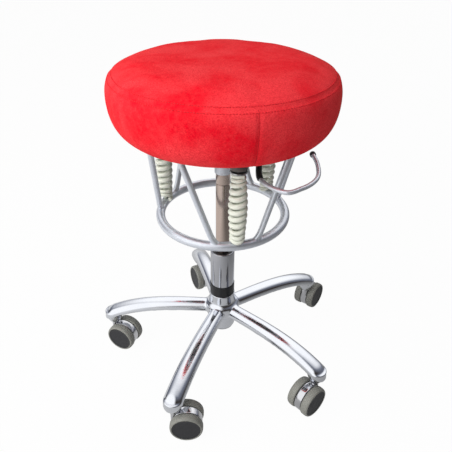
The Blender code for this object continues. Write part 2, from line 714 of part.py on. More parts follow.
def spring_path(at):
    """A left-hand barrel coil, close at both ends and open in the belly, from top to bottom."""
    count = round(SPRING_TURNS * POINTS_PER_TURN)
    coil_height = SPRING_LENGTH - 2 * WIRE_RADIUS
    open_turns = SPRING_TURNS - 2 * SPRING_END_TURNS
    open_pitch = (coil_height - 2 * SPRING_END_TURNS * SPRING_END_PITCH) / open_turns
    points = []
    for i in range(count + 1):
        turn = SPRING_TURNS * i / count
        from_end = min(turn, SPRING_TURNS - turn)
        close = min(from_end, SPRING_END_TURNS)
        drop = close * SPRING_END_PITCH + (from_end - close) * open_pitch
        height = spring_top_z - WIRE_RADIUS - drop
        if turn > SPRING_TURNS / 2:
            height = spring_bottom_z + WIRE_RADIUS + drop
        swell = abs(math.sin(math.pi * i / count)) ** 1.5
        radius = SPRING_NECK_RADIUS + (SPRING_BELLY_RADIUS - SPRING_NECK_RADIUS) * swell - WIRE_RADIUS
        points.append(at + polar(radius, turn * 360.0, height))
    for end, beside, forward in ((0, 1, False), (-1, -2, True)):
        tangent = points[end] - points[beside]
        tangent.z = 0.0
        tail = points[end] + tangent.normalized() * 2 * WIRE_RADIUS
        points = points + [tail] if forward else [tail] + points
    return points


def least_gap(points):
    """Smallest clear distance between stretches of a coil that lie a half turn or more apart."""
    skip = POINTS_PER_TURN // 2
    nearest = min(
        (first - second).length
        for i, first in enumerate(points)
        for second in points[i + skip:]
    )
    return nearest - 2 * WIRE_RADIUS


def suspension():
    """Three hangers, bushes, springs, studs and ball seats between the carrier and the ring."""
    shank_play = HANGER_SHANK_RADIUS + HANGER_PLAY
    head_bottom = hanger_z + BUSH_HALF_HEIGHT + HANGER_HEAD_GAP
    flange_bottom = flange_top_z - FLANGE_HEIGHT
    hanger_profile = [
        (0.0, head_bottom + HANGER_HEAD_HEIGHT),
        (HANGER_HEAD_RADIUS, head_bottom + HANGER_HEAD_HEIGHT),
        (HANGER_HEAD_RADIUS, head_bottom),
        (HANGER_SHANK_RADIUS, head_bottom),
        (HANGER_SHANK_RADIUS, flange_top_z),
        (FLANGE_RADIUS - EDGE, flange_top_z),
        (FLANGE_RADIUS, flange_top_z - FLANGE_HEIGHT / 2),
        (FLANGE_RADIUS - EDGE, flange_bottom),
        (plug_radius, flange_bottom),
        (plug_radius, flange_bottom - PLUG_LENGTH),
        (0.0, flange_bottom - PLUG_LENGTH),
    ]
    bush_profile = [(shank_play, BUSH_HALF_HEIGHT)]
    for i in range(-2, 3):
        height = -BUSH_HALF_HEIGHT * i / 2
        bush_profile.append((math.sqrt(BUSH_RADIUS ** 2 - height ** 2), height))
    bush_profile.append((shank_play, -BUSH_HALF_HEIGHT))

    stud_top = spring_bottom_z + PLUG_LENGTH
    stud_profile = [
        (0.0, stud_top),
        (plug_radius, stud_top),
        (plug_radius, spring_bottom_z),
        (STUD_RADIUS, spring_bottom_z),
        (STUD_RADIUS, ball_z - STUD_TAIL),
        (0.0, ball_z - STUD_TAIL),
    ]
    stud_play = STUD_RADIUS + STUD_PLAY
    ball_cut = math.sqrt(BALL_RADIUS ** 2 - stud_play ** 2)
    ball_profile = [(stud_play, ball_cut)]
    for i in range(1, 6):
        height = ball_cut * (1 - i / 3)
        ball_profile.append((math.sqrt(BALL_RADIUS ** 2 - height ** 2), height))
    ball_profile.append((stud_play, -ball_cut))

    for i in range(SPRING_COUNT):
        angle = SPRING_ANGLE + i * 360.0 / SPRING_COUNT
        at = polar(RING_RADIUS, angle)
        number = i + 1
        turned(f"hanger_bush_{number}", bush_profile, SMALL_SIDES, "black_plastic",
               at + Vector((0.0, 0.0, hanger_z)), ring=True)
        turned(f"spring_hanger_{number}", hanger_profile, SMALL_SIDES, "zinc_steel", at)
        path = spring_path(at)
        tube(f"swing_spring_{number}", path, WIRE_RADIUS, "cream_coating", 1)
        turned(f"foot_stud_{number}", stud_profile, SMALL_SIDES, "zinc_steel", at)
        turned(f"foot_ball_{number}", ball_profile, SMALL_SIDES, "zinc_steel",
               at + Vector((0.0, 0.0, ball_z)), ring=True)
    print(f"least gap in each spring: {least_gap(path) * 1000:.2f} mm")


def swing_frame():
    """Ring with three ball sockets, six legs coped to it, and the seat plate on top."""
    ring = torus("swing_ring", RING_RADIUS, RING_TUBE_RADIUS, "silver_lacquer", Vector((0.0, 0.0, ring_z)))
    mouth = STUD_RADIUS + SOCKET_MOUTH_PLAY
    socket_radius = BALL_RADIUS + FIT
    mouth_angle = math.acos(mouth / socket_radius)
    socket_profile = [(0.0, 2 * RING_TUBE_RADIUS), (mouth, 2 * RING_TUBE_RADIUS)]
    for i in range(5):
        angle = mouth_angle - (mouth_angle + math.pi / 2) * i / 5
        socket_profile.append((socket_radius * math.cos(angle), socket_radius * math.sin(angle)))
    socket_profile.append((0.0, -socket_radius))
    cope = torus("leg_cope", RING_RADIUS, RING_TUBE_RADIUS + FIT, None, Vector((0.0, 0.0, ring_z)))
    slab_height = 4 * LEG_RADIUS
    slab_at = Vector((0.0, 0.0, plate_bottom_z - FIT + slab_height / 2))
    slab = block("leg_trim", (4 * LEG_TOP_RADIUS, 4 * LEG_TOP_RADIUS, slab_height), None, slab_at)
    number = 0
    for i in range(SPRING_COUNT):
        angle = SPRING_ANGLE + i * 360.0 / SPRING_COUNT
        at = polar(RING_RADIUS, angle, ball_z)
        socket = turned(f"ball_socket_{i + 1}", socket_profile, SMALL_SIDES, None, at)
        combine(ring, socket, "DIFFERENCE")
        for side in (-1, 1):
            number += 1
            foot = polar(RING_RADIUS, angle + side * LEG_FOOT_ANGLE, ring_z)
            top = polar(LEG_TOP_RADIUS, angle + side * LEG_TOP_ANGLE, plate_bottom_z)
            along = (top - foot).normalized()
            toe = polar(RING_RADIUS, angle + side * (LEG_FOOT_ANGLE - LEG_TOE_ANGLE), ring_z)
            knee = foot + along * LEG_BEND
            path = [top + along * LEG_RADIUS]
            for step in range(LEG_BEND_STEPS + 1):
                t = step / LEG_BEND_STEPS
                path.append(knee * (1 - t) ** 2 + foot * 2 * t * (1 - t) + toe * t ** 2)
            leg = solid_rod(f"swing_leg_{number}", path, LEG_RADIUS, "silver_lacquer")
            combine(leg, cope, "DIFFERENCE")
            combine(leg, slab, "DIFFERENCE")
    turned("seat_plate", [
        (0.0, plate_top_z),
        (plate_radius, plate_top_z),
        (plate_radius, plate_bottom_z),
        (0.0, plate_bottom_z),
    ], LARGE_SIDES, "zinc_steel")


def cushion_outline():
    """Crown, seam dip, belly and drawn-in lower side, from the top centre down to the foot."""
    belly_z = cushion_bottom_z + CUSHION_BELLY_HEIGHT
    crown = CUSHION_HEIGHT - CUSHION_BELLY_HEIGHT
    tuck = CUSHION_RADIUS - cushion_foot_radius
    points = []
    for angle in (90, 75, 60, 45, 33, 26, CUSHION_SEAM_ANGLE, 16, 10, 4):
        across = math.cos(math.radians(angle)) ** (2 / CUSHION_CROWN_FULLNESS)
        up = math.sin(math.radians(angle)) ** (2 / CUSHION_CROWN_FULLNESS)
        dip = CUSHION_SEAM_DEPTH if angle == CUSHION_SEAM_ANGLE else 0.0
        points.append((max(CUSHION_RADIUS * across - dip, 0.0), belly_z + crown * up))
    points[0] = (0.0, belly_z + crown)
    for angle in (0, 15, 30, 45, 60, 75, 90):
        across = math.cos(math.radians(angle)) ** (2 / CUSHION_LOWER_FULLNESS)
        down = math.sin(math.radians(angle)) ** (2 / CUSHION_LOWER_FULLNESS)
        points.append((cushion_foot_radius + tuck * across, belly_z - CUSHION_BELLY_HEIGHT * down))
    return points


def seat():
    turned("seat_board", [
        (0.0, board_top_z),
        (board_radius, board_top_z),
        (board_radius, board_bottom_z),
        (0.0, board_bottom_z),
    ], LARGE_SIDES, "birch_plywood")
    pocket = board_radius + FIT
    pocket_sides = pocket / math.cos(math.pi / CUSHION_STEPS)
    turned("seat_cushion", [
        *cushion_outline(),
        (pocket_sides, cushion_bottom_z),
        (pocket_sides, board_top_z + FIT),
        (0.0, board_top_z + FIT),
    ], CUSHION_STEPS, "red_microfibre")


base_star()
gas_column()
carrier()
release_lever()
suspension()
swing_frame()
seat()
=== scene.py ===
import math
import bpy
from mathutils import Matrix, Vector, noise
from mathutils.bvhtree import BVHTree


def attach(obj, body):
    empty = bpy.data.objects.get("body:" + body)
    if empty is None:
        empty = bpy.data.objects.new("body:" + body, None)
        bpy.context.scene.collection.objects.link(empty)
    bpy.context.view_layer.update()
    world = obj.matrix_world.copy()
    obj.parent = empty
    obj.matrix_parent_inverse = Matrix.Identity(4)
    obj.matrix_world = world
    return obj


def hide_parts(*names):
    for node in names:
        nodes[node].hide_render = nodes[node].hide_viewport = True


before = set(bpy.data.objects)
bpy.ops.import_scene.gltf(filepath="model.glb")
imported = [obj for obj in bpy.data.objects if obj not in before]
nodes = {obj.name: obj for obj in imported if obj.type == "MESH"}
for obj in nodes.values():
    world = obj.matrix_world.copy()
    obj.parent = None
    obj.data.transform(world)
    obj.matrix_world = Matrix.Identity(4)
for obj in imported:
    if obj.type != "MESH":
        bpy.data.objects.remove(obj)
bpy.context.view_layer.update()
scene = bpy.context.scene
scene.view_settings.view_transform = "Standard"
print("frame loaded,", len(nodes), "nodes")


def aroundAxis(radius, degrees, height=0.0):
    # a place round the column, counted from the front towards the right
    angle = math.radians(degrees)
    return Vector((radius * math.sin(angle), -radius * math.cos(angle), height))


def pick(*pieces):
    bpy.ops.object.select_all(action="DESELECT")
    for piece in pieces:
        piece.select_set(True)
    bpy.context.view_layer.objects.active = pieces[0]


# camera
cameraSet = {
    "place": (0.0, -0.8544, 0.8832),
    "lens": 40.24,
    "sensor": 36.0,
    "pitchDown": 32.786,
    "yaw": 0.4387,
    "roll": 0.677,
}


def addCamera(settings):
    data = bpy.data.cameras.new("stoolCamera")
    data.lens = settings["lens"]
    data.sensor_width = settings["sensor"]
    camera = bpy.data.objects.new("stoolCamera", data)
    scene.collection.objects.link(camera)
    pitch = math.radians(settings["pitchDown"])
    yaw = math.radians(settings["yaw"])
    roll = math.radians(settings["roll"])
    level = math.cos(pitch)
    forward = Vector((math.sin(yaw) * level, math.cos(yaw) * level, -math.sin(pitch)))
    right = forward.cross(Vector((0, 0, 1))).normalized()
    up = right.cross(forward)
    rolledRight = right * math.cos(roll) + up * math.sin(roll)
    rolledUp = up * math.cos(roll) - right * math.sin(roll)
    turn = Matrix((rolledRight, rolledUp, -forward)).transposed()
    camera.matrix_world = Matrix.Translation(settings["place"]) @ turn.to_4x4()
    scene.camera = camera


addCamera(cameraSet)
print("camera placed")


# materials
def hexColour(code):
    # sRGB hex to the linear values that the shader works in
    channels = [int(code[i:i + 2], 16) / 255 for i in (1, 3, 5)]
    linear = [c / 12.92 if c <= 0.04045 else ((c + 0.055) / 1.055) ** 2.4 for c in channels]
    return (*linear, 1.0)


def perMetre(millimetres):
    # pattern scale for features of that size on Object coordinates
    return 1000.0 / millimetres


def setInputs(tree, node, inputs):
    # an input takes a value, or is linked to the output of another node
    for key, value in inputs.items():
        if isinstance(value, bpy.types.NodeSocket):
            tree.links.new(value, node.inputs[key])
        else:
            node.inputs[key].default_value = value


def addNode(tree, kind, inputs=None, **settings):
    node = tree.nodes.new(kind)
    for key, value in settings.items():
        setattr(node, key, value)
    setInputs(tree, node, inputs or {})
    return node


def startMaterial(name):
    material = bpy.data.materials.new(name)
    material.use_nodes = True
    tree = material.node_tree
    coords = addNode(tree, "ShaderNodeTexCoord").outputs["Object"]
    return material, tree, tree.nodes["Principled BSDF"], coords


def cloudy(tree, coords, size, detail, **more):
    # noise with features of that size in millimetres
    inputs = {"Vector": coords, "Scale": perMetre(size), "Detail": detail, **more}
    return addNode(tree, "ShaderNodeTexNoise", inputs).outputs["Fac"]


def cells(tree, coords, size):
    inputs = {"Vector": coords, "Scale": perMetre(size)}
    return addNode(tree, "ShaderNodeTexVoronoi", inputs).outputs["Color"]


def remap(tree, value, low=0.0, high=1.0, start=0.0, end=1.0):
    # from start to end the value becomes low to high
    inputs = {"Value": value, "From Min": start, "From Max": end, "To Min": low, "To Max": high}
    return addNode(tree, "ShaderNodeMapRange", inputs).outputs["Result"]


def blend(tree, factor, *colours):
    # a mix of two colours, each a hex code, a value or a node's output
    first, second = [hexColour(c) if isinstance(c, str) else c for c in colours]
    inputs = {"Factor": factor, "A": first, "B": second}
    return addNode(tree, "ShaderNodeMix", inputs, data_type="RGBA").outputs[2]


def bump(tree, height, strength, distance):
    inputs = {"Height": height, "Strength": strength, "Distance": distance}
    return addNode(tree, "ShaderNodeBump", inputs).outputs["Normal"]


def suedeMicrofibre():
    # brushed microfibre suede: the nap lies two ways, so broad soft clouds of lighter and deeper
    # red lie under small brush marks and a fine fibre grain, with little sheen
    material, tree, shader, coords = startMaterial("suedeMicrofibre")
    clouds = cloudy(tree, coords, size=95, detail=3.0, Roughness=0.55, Distortion=0.3)
    nap = blend(tree, remap(tree, clouds, start=0.41, end=0.6), "#EC0B24", "#F74047")
    marks = cloudy(tree, coords, size=9, detail=4.0, Roughness=0.7)
    stroked = blend(tree, remap(tree, marks, high=0.45, start=0.35, end=0.7), nap, "#FF4A4C")
    # the real fibre is finer than a pixel, so the grain is drawn at 2 mm to show
    fibre = cloudy(tree, coords, size=2, detail=3.0, Roughness=0.7)
    grain = remap(tree, fibre, high=0.62, start=0.38, end=0.66)
    setInputs(tree, shader, {
        "Base Color": blend(tree, grain, stroked, "#C60A1E"),
        "Normal": bump(tree, fibre, strength=0.35, distance=0.0008),
        "Roughness": 0.95, "Specular IOR Level": 0.03,
        "Sheen Weight": 0.28, "Sheen Roughness": 0.45, "Sheen Tint": hexColour("#FF7268")})
    return material


def sewingThread(name, dark, light):
    # twisted polyester thread or a rolled edge of cloth in the cover's red, its twist a fine ripple
    material, tree, shader, coords = startMaterial(name)
    twist = cloudy(tree, coords, size=0.9, detail=2.0)
    setInputs(tree, shader, {
        "Base Color": blend(tree, twist, dark, light), "Roughness": 0.7, "Specular IOR Level": 0.2,
        "Normal": bump(tree, twist, strength=0.4, distance=0.0003)})
    return material


def polishedMetal(name, base, worn, gloss, patch, wave):
    # metal worked to a mirror: handling marks change the gloss in patches of the given size,
    # and a slow wave of the surface bends the reflections a little
    material, tree, shader, coords = startMaterial(name)
    marks = cloudy(tree, coords, size=patch, detail=2.0, Roughness=0.5)
    slow = cloudy(tree, coords, size=24, detail=1.0)
    setInputs(tree, shader, {
        "Base Color": blend(tree, marks, base, worn), "Metallic": 1.0,
        "Roughness": remap(tree, marks, *gloss, start=0.3, end=0.7),
        "Normal": bump(tree, slow, strength=wave, distance=0.002)})
    return material


def silverLacquer():
    # steel tube sprayed with metallic lacquer: fine bright flakes and a faint orange-peel skin
    # under a clear coat
    material, tree, shader, coords = startMaterial("silverLacquer")
    flakes = cells(tree, coords, size=0.8)  # the real ones are too fine to show
    peel = cloudy(tree, coords, size=3.5, detail=2.0)
    setInputs(tree, shader, {
        "Base Color": blend(tree, peel, "#D4D9E2", "#E8ECF4"), "Metallic": 0.72,
        "Roughness": remap(tree, flakes, low=0.28, high=0.4),
        "Normal": bump(tree, peel, strength=0.06, distance=0.001),
        "Coat Weight": 0.35, "Coat Roughness": 0.12})
    return material


def creamCoating():
    # spring steel in cream powder coat: soft gloss, a pebbled skin and a greyer cast where the
    # coat is thin
    material, tree, shader, coords = startMaterial("creamPowderCoat")
    thin = cloudy(tree, coords, size=14, detail=3.0)
    pebble = cloudy(tree, coords, size=1.4, detail=2.0)
    setInputs(tree, shader, {
        "Base Color": blend(tree, thin, "#D6D9CA", "#E8EADF"), "IOR": 1.5,
        "Roughness": remap(tree, pebble, low=0.34, high=0.52),
        "Normal": bump(tree, pebble, strength=0.16, distance=0.0004)})
    return material


def mouldedPlastic(name, dark, light, gloss, grain, depth):
    # moulded plastic or rubber: an even spark-eroded grain from the tool, and scuffs that dull it
    # in places
    material, tree, shader, coords = startMaterial(name)
    scuffs = cloudy(tree, coords, size=9, detail=6.0, Roughness=0.7)
    pits = cloudy(tree, coords, size=grain, detail=2.0)
    setInputs(tree, shader, {
        "Base Color": blend(tree, scuffs, dark, light), "IOR": 1.5,
        "Roughness": remap(tree, scuffs, *gloss, start=0.3, end=0.7),
        "Normal": bump(tree, pits, strength=depth, distance=0.0004)})
    return material


def zincSteel():
    # zinc plated steel: a grey bright metal with the plating's crystal patches
    material, tree, shader, coords = startMaterial("zincPlatedSteel")
    crystals = cells(tree, coords, size=7)
    setInputs(tree, shader, {
        "Base Color": blend(tree, crystals, "#A9ABAC", "#C4C6C6"), "Metallic": 1.0,
        "Roughness": remap(tree, crystals, low=0.32, high=0.46)})
    return material


def birchPlywood():
    # sanded birch plywood: pale streaks along the face grain and fine pores
    material, tree, shader, coords = startMaterial("birchPlywood")
    stretched = addNode(tree, "ShaderNodeMapping", {"Vector": coords, "Scale": (1.0, 12.0, 1.0)})
    streaks = cloudy(tree, stretched.outputs["Vector"], size=60, detail=6.0, Roughness=0.6)
    setInputs(tree, shader, {
        "Base Color": blend(tree, streaks, "#B98F5C", "#E2C79C"), "IOR": 1.5,
        "Roughness": remap(tree, streaks, low=0.55, high=0.75)})
    return material


suede = suedeMicrofibre()
thread = sewingThread("polyesterThread", "#C61824", "#E22B35")
foldedEdge = sewingThread("foldedCoverEdge", "#A20E1B", "#BC1623")
castAluminium = polishedMetal("polishedCastAluminium", "#DFE2EA", "#ECEEF2",
                              gloss=(0.13, 0.19), patch=40, wave=0.02)
columnChrome = polishedMetal("columnChrome", "#BBBCC2", "#C8C9CE",
                             gloss=(0.09, 0.15), patch=30, wave=0.01)
# painted reflection: the piston chrome's warm brown base colour stands in for the warm surroundings
# it mirrors
pistonChromeReflectionTint = polishedMetal("pistonChromeReflectionTint", "#C6B3A8", "#D0BFB5",
                             gloss=(0.12, 0.2), patch=26, wave=0.01)
hoodChrome = polishedMetal("hoodChrome", "#CFD0D4", "#DDDDE0",
                           gloss=(0.06, 0.16), patch=8, wave=0.03)
lacquer = silverLacquer()
cream = creamCoating()
treadRubber = mouldedPlastic("greyTreadPolyurethane", "#7F7F78", "#8B8B85",
                             gloss=(0.42, 0.55), grain=1.2, depth=0.05)
discPlastic = mouldedPlastic("darkGreyNylon", "#1E1E21", "#2D2D31",
                             gloss=(0.4, 0.6), grain=0.9, depth=0.25)
# painted shade: a dark grey steel that stands in for the shade under the seat, used on the carrier
# arms and the seat plate
shadeDarkenedSteel = mouldedPlastic("paintedShadeDarkSteel", "#4A4543", "#5B5653",
                                gloss=(0.25, 0.4), grain=2.2, depth=0.1)
blackPlastic = mouldedPlastic("blackPlastic", "#111113", "#1D1D20",
                              gloss=(0.32, 0.5), grain=1.0, depth=0.12)
blackRubber = mouldedPlastic("blackVinylSleeve", "#141415", "#232325",
                             gloss=(0.42, 0.6), grain=1.3, depth=0.2)
zinc = zincSteel()
plywood = birchPlywood()
print("materials made")


# making and finishing a piece
mergeDistance = 0.000002


def editAll():
    bpy.ops.object.mode_set(mode="EDIT")
    bpy.ops.mesh.select_all(action="SELECT")


def closeEdit(merge=0.0):
    # points that lie together become one, and the faces look outwards
    bpy.ops.mesh.select_all(action="SELECT")
    if merge:
        bpy.ops.mesh.remove_doubles(threshold=merge)
    bpy.ops.mesh.normals_make_consistent(inside=False)
    bpy.ops.object.mode_set(mode="OBJECT")


def turnedPiece(name, rings, segments, solid=True):
    # a circle drawn on ring by ring, each a radius and a height; a hollow one ends on its first
    radius, height = rings[0]
    bpy.ops.mesh.primitive_circle_add(vertices=segments, radius=radius, location=(0, 0, height),
                                      fill_type="NGON" if solid else "NOTHING")
    piece = bpy.context.object
    piece.name = name
    editAll()
    for nextRadius, nextHeight in rings[1:]:
        move = (0, 0, nextHeight - height)
        bpy.ops.mesh.extrude_region_move(TRANSFORM_OT_translate={"value": move})
        share = nextRadius / radius
        bpy.ops.transform.resize(value=(share, share, 1), center_override=(0, 0, nextHeight))
        radius, height = nextRadius, nextHeight
    closeEdit(mergeDistance)
    bpy.ops.object.transform_apply()
    return piece


def bentRod(name, points, radius, sides, shares=()):
    # a round wire along the points, made a mesh with closed ends; shares thicken it point by point
    data = bpy.data.curves.new(name, "CURVE")
    data.dimensions = "3D"
    data.bevel_depth = radius
    data.bevel_resolution = (sides - 4) // 2  # each step adds two sides to a square
    data.use_fill_caps = True
    line = data.splines.new("POLY")
    line.points.add(len(points) - 1)
    for point, place in zip(line.points, points):
        point.co = (*place, 1.0)
    for point, share in zip(line.points, shares):
        point.radius = share
    wire = bpy.data.objects.new(name, data)
    scene.collection.objects.link(wire)
    pick(wire)
    bpy.ops.object.convert(target="MESH")
    rod = bpy.context.object
    editAll()
    closeEdit(mergeDistance)
    return rod


def smoothRoute(points, steps):
    # more points on an even curve through the given ones
    ends = [points[0] * 2 - points[1], *points, points[-1] * 2 - points[-2]]
    route = []
    for before, start, end, after in zip(ends, ends[1:], ends[2:], ends[3:]):
        bend = 2 * before - 5 * start + 4 * end - after
        twist = 3 * start - before - 3 * end + after
        for i in range(steps):
            t = i / steps
            route.append(0.5 * (2 * start + (end - before) * t + bend * t ** 2 + twist * t ** 3))
    route.append(points[-1])
    return route


def copyPiece(piece, name, place, turn):
    pick(piece)
    bpy.ops.object.duplicate()
    copy = bpy.context.object
    copy.name = name
    copy.location = place
    copy.rotation_euler = (0, 0, turn)
    bpy.ops.object.transform_apply()
    return copy


def spread(piece, places):
    # copies of the piece, each at a place and a turn, instead of the piece itself
    copies = [copyPiece(piece, piece.name, place, turn) for place, turn in places]
    bpy.data.objects.remove(piece)
    return copies


def joinPieces(first, *others):
    pick(first, *others)
    bpy.ops.object.join()
    return first


def applyModifier(piece, kind, **settings):
    pick(piece)
    modifier = piece.modifiers.new(kind, kind)
    for key, value in settings.items():
        setattr(modifier, key, value)
    bpy.ops.object.modifier_apply(modifier=modifier.name)


def cutOrWeld(piece, other, operation):
    applyModifier(piece, "BOOLEAN", object=other, operation=operation, solver="EXACT")
    bpy.data.objects.remove(other)


def remeshPiece(piece, voxel):
    pick(piece)
    piece.data.remesh_voxel_size = voxel
    bpy.ops.object.voxel_remesh()


def castInOne(piece, voxel, rounds):
    # melts overlapping forms into one skin and softens the inside corners like a casting or a weld
    remeshPiece(piece, voxel)
    applyModifier(piece, "SMOOTH", factor=0.5, iterations=rounds)


def finishPiece(piece, body, material, replaced=(), sharp=40):
    pick(piece)
    bpy.ops.object.transform_apply()
    bpy.ops.object.shade_smooth_by_angle(angle=math.radians(sharp))
    piece.data.materials.clear()
    piece.data.materials.append(material)
    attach(piece, body)
    if replaced:
        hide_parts(*replaced)


# five-star base, the hub's and the tip's rings are a radius and a height each
baseSet = {
    "arms": 5, "firstArm": -93.5, "stemCircle": 0.248, "armStart": 0.0295,
    "armTop": 0.137, "armFall": 0.032, "fallCurve": 3.2,
    "hubWidth": 0.035, "tipWidth": 0.041, "depth": 0.020, "lowest": 0.069, "wall": 0.004,
    "roundness": 2.2, "noseRadius": 0.0205, "noseRounding": 0.85, "noseSteps": 8, "noseAngle": 10,
    "stations": 22, "arcPoints": 36, "hubSides": 96, "bossSides": 64,
    "voxel": 0.0017, "softening": 18, "polish": 6, "polishFactor": 0.6,
    "hub": [(0.0253, 0.1660), (0.0257, 0.1665), (0.0266, 0.1665), (0.0272, 0.1660),
            (0.0273, 0.1650), (0.0273, 0.1500), (0.0279, 0.1455), (0.0298, 0.1415),
            (0.0325, 0.1390), (0.0350, 0.1365), (0.0360, 0.1335), (0.0360, 0.1150),
            (0.0345, 0.1110), (0.0300, 0.1060), (0.0285, 0.1030), (0.0280, 0.0775),
            (0.0275, 0.0763), (0.0258, 0.0760), (0.0253, 0.0765), (0.0253, 0.1660)],
    "boss": [(0.0196, 0.0935), (0.0196, 0.0880), (0.0190, 0.0830), (0.0176, 0.0775),
             (0.0157, 0.0725), (0.0138, 0.0685), (0.0122, 0.0655), (0.0110, 0.0632),
             (0.0105, 0.0620)],
}


def armSections(settings):
    # reach, half width, foot and depth of the arm from the hub to the end of its nose
    stem = settings["stemCircle"]
    start = settings["armStart"]
    stations = settings["stations"]
    reaches = [start + (stem - start) * i / stations for i in range(stations + 1)]
    for i in range(1, settings["noseSteps"] + 1):
        angle = math.radians(settings["noseAngle"] * i)
        reaches.append(stem + settings["noseRadius"] * math.sin(angle))
    widening = settings["tipWidth"] - settings["hubWidth"]
    sections = []
    for reach in reaches:
        share = (reach - start) / (stem - start)
        width = settings["hubWidth"] + widening * min(share, 1.0)
        beyond = max(reach - stem, 0.0) / settings["noseRadius"]
        top = settings["armTop"] - settings["armFall"] * share ** settings["fallCurve"]
        depth = min(settings["depth"], top - settings["lowest"])
        foot = top - depth
        depth *= math.sqrt(1 - settings["noseRounding"] * beyond ** 2)
        sections.append((reach, width / 2 * math.sqrt(1 - beyond ** 2), foot, depth))
    return sections


def starArm(settings):
    # half a circle pulled to a fuller arch, then drawn out along the arm and round its nose
    sections = armSections(settings)
    bpy.ops.mesh.primitive_circle_add(vertices=settings["arcPoints"] * 2, radius=1.0,
                                      rotation=(0, math.pi / 2, 0))
    arm = bpy.context.object
    bpy.ops.object.transform_apply()
    bpy.ops.object.mode_set(mode="EDIT")
    bpy.ops.mesh.select_all(action="DESELECT")
    bpy.ops.object.mode_set(mode="OBJECT")
    justUnder = -0.001  # the two points on the middle line stay
    for vertex in arm.data.vertices:
        vertex.select = vertex.co.z < justUnder
    bpy.ops.object.mode_set(mode="EDIT")
    bpy.ops.mesh.delete(type="VERT")
    bpy.ops.object.mode_set(mode="OBJECT")
    reach, half, foot, depth = sections[0]
    power = 2 / settings["roundness"]
    for vertex in arm.data.vertices:
        side = math.copysign(abs(vertex.co.y) ** power, vertex.co.y)
        rise = max(vertex.co.z, 0.0) ** power
        vertex.co = (reach, half * side, foot + depth * rise)
    editAll()
    for nextReach, nextHalf, nextFoot, nextDepth in sections[1:]:
        move = (nextReach - reach, 0, nextFoot - foot)
        bpy.ops.mesh.extrude_region_move(TRANSFORM_OT_translate={"value": move})
        bpy.ops.transform.resize(value=(1, nextHalf / half, nextDepth / depth),
                                 center_override=(nextReach, 0, nextFoot))
        reach, half, foot, depth = nextReach, nextHalf, nextFoot, nextDepth
    bpy.ops.mesh.edge_face_add()
    closeEdit()
    return arm


def buildBase(settings):
    star = turnedPiece("starBase", settings["hub"], settings["hubSides"], solid=False)
    arm = starArm(settings)
    applyModifier(arm, "SOLIDIFY", thickness=settings["wall"], offset=-1.0)
    boss = turnedPiece("tipBoss", settings["boss"], settings["bossSides"])
    boss.location = (settings["stemCircle"], 0, 0)
    places = []
    for i in range(settings["arms"]):
        degrees = settings["firstArm"] + i * 360 / settings["arms"]
        places.append(((0, 0, 0), math.radians(degrees - 90)))
    star = joinPieces(star, *spread(joinPieces(arm, boss), places))
    castInOne(star, settings["voxel"], settings["softening"])
    applyModifier(star, "LAPLACIANSMOOTH", iterations=settings["polish"],
                  lambda_factor=settings["polishFactor"])
    finishPiece(star, "base", castAluminium, ["base_star"], sharp=60)


buildBase(baseSet)
print("star base cast")


# gas column, each ring is a radius and a height
columnSet = {
    "tube": [(0.0222, 0.2757), (0.0244, 0.2757), (0.0249, 0.2752), (0.0250, 0.2744),
             (0.0250, 0.0724), (0.0247, 0.0720), (0.0220, 0.0720), (0.0220, 0.2752),
             (0.0222, 0.2757)],
    "band": [(0.0253, 0.1913), (0.0257, 0.1913), (0.0260, 0.1910), (0.0260, 0.1671),
             (0.0257, 0.1668), (0.0253, 0.1668), (0.0253, 0.1913)],
    "bushing": [(0.0143, 0.2738), (0.0149, 0.2747), (0.0198, 0.2747), (0.0213, 0.2744),
                (0.0217, 0.2736), (0.0217, 0.2047), (0.0143, 0.2047), (0.0143, 0.2738)],
    "piston": [(0.0043, 0.5284), (0.0135, 0.5284), (0.0140, 0.5279), (0.0140, 0.4328),
               (0.0138, 0.4323), (0.0132, 0.4319), (0.0132, 0.4313), (0.0138, 0.4309),
               (0.0140, 0.4304), (0.0140, 0.2101), (0.0136, 0.2097), (0.0110, 0.2097),
               (0.0110, 0.4885), (0.0043, 0.4885), (0.0043, 0.5284)],
    "sides": 96,
}


def buildColumn(settings):
    parts = (("tube", "base", columnChrome, "chrome", "column_tube"),
             ("band", "base", blackPlastic, "black_plastic", "column_band"),
             ("bushing", "base", blackPlastic, "black_plastic", "guide_bushing"),
             ("piston", "piston", pistonChromeReflectionTint, "chrome", "piston_tube"))
    for key, body, material, slotName, node in parts:
        name = "column" + key.capitalize()
        piece = turnedPiece(name, settings[key], settings["sides"], solid=False)
        finishPiece(piece, body, material, [node])


buildColumn(columnSet)
print("gas column turned")


# where the three springs hang round the column, in degrees from the front
springAngles = (12.0, 132.0, 252.0)

# carrier under the seat: a sleeve on the column and three arms that end in eyes for the springs
carrierSet = {
    "sleeve": [(0.0143, 0.5281), (0.0147, 0.5285), (0.0159, 0.5285), (0.0163, 0.5281),
               (0.0163, 0.4545), (0.0160, 0.4540), (0.0146, 0.4540), (0.0143, 0.4544),
               (0.0143, 0.5281)],
    "sides": 64, "armSize": (0.022, 0.0949, 0.008), "armMiddle": 0.06275, "armHeight": 0.5245,
    "eyeReach": 0.122, "eye": 0.0146, "eyeBore": 0.0091, "boreLength": 0.02, "edge": 0.0008,
    "lugSize": (0.004, 0.0202, 0.0115), "lugMiddle": (0.0063, 0.0254, 0.52275), "lugAngle": 62.0,
    "pin": (0.0028, 0.030, 0.5225), "pinLength": 0.05,
}


def squareBar(size, place):
    bpy.ops.mesh.primitive_cube_add(size=1.0, location=place, scale=size)
    bpy.ops.object.transform_apply()
    return bpy.context.object


def roundBar(radius, length, place, rotation=(0, 0, 0)):
    bpy.ops.mesh.primitive_cylinder_add(vertices=64, radius=radius, depth=length,
                                        location=place, rotation=rotation)
    bpy.ops.object.transform_apply()
    return bpy.context.object


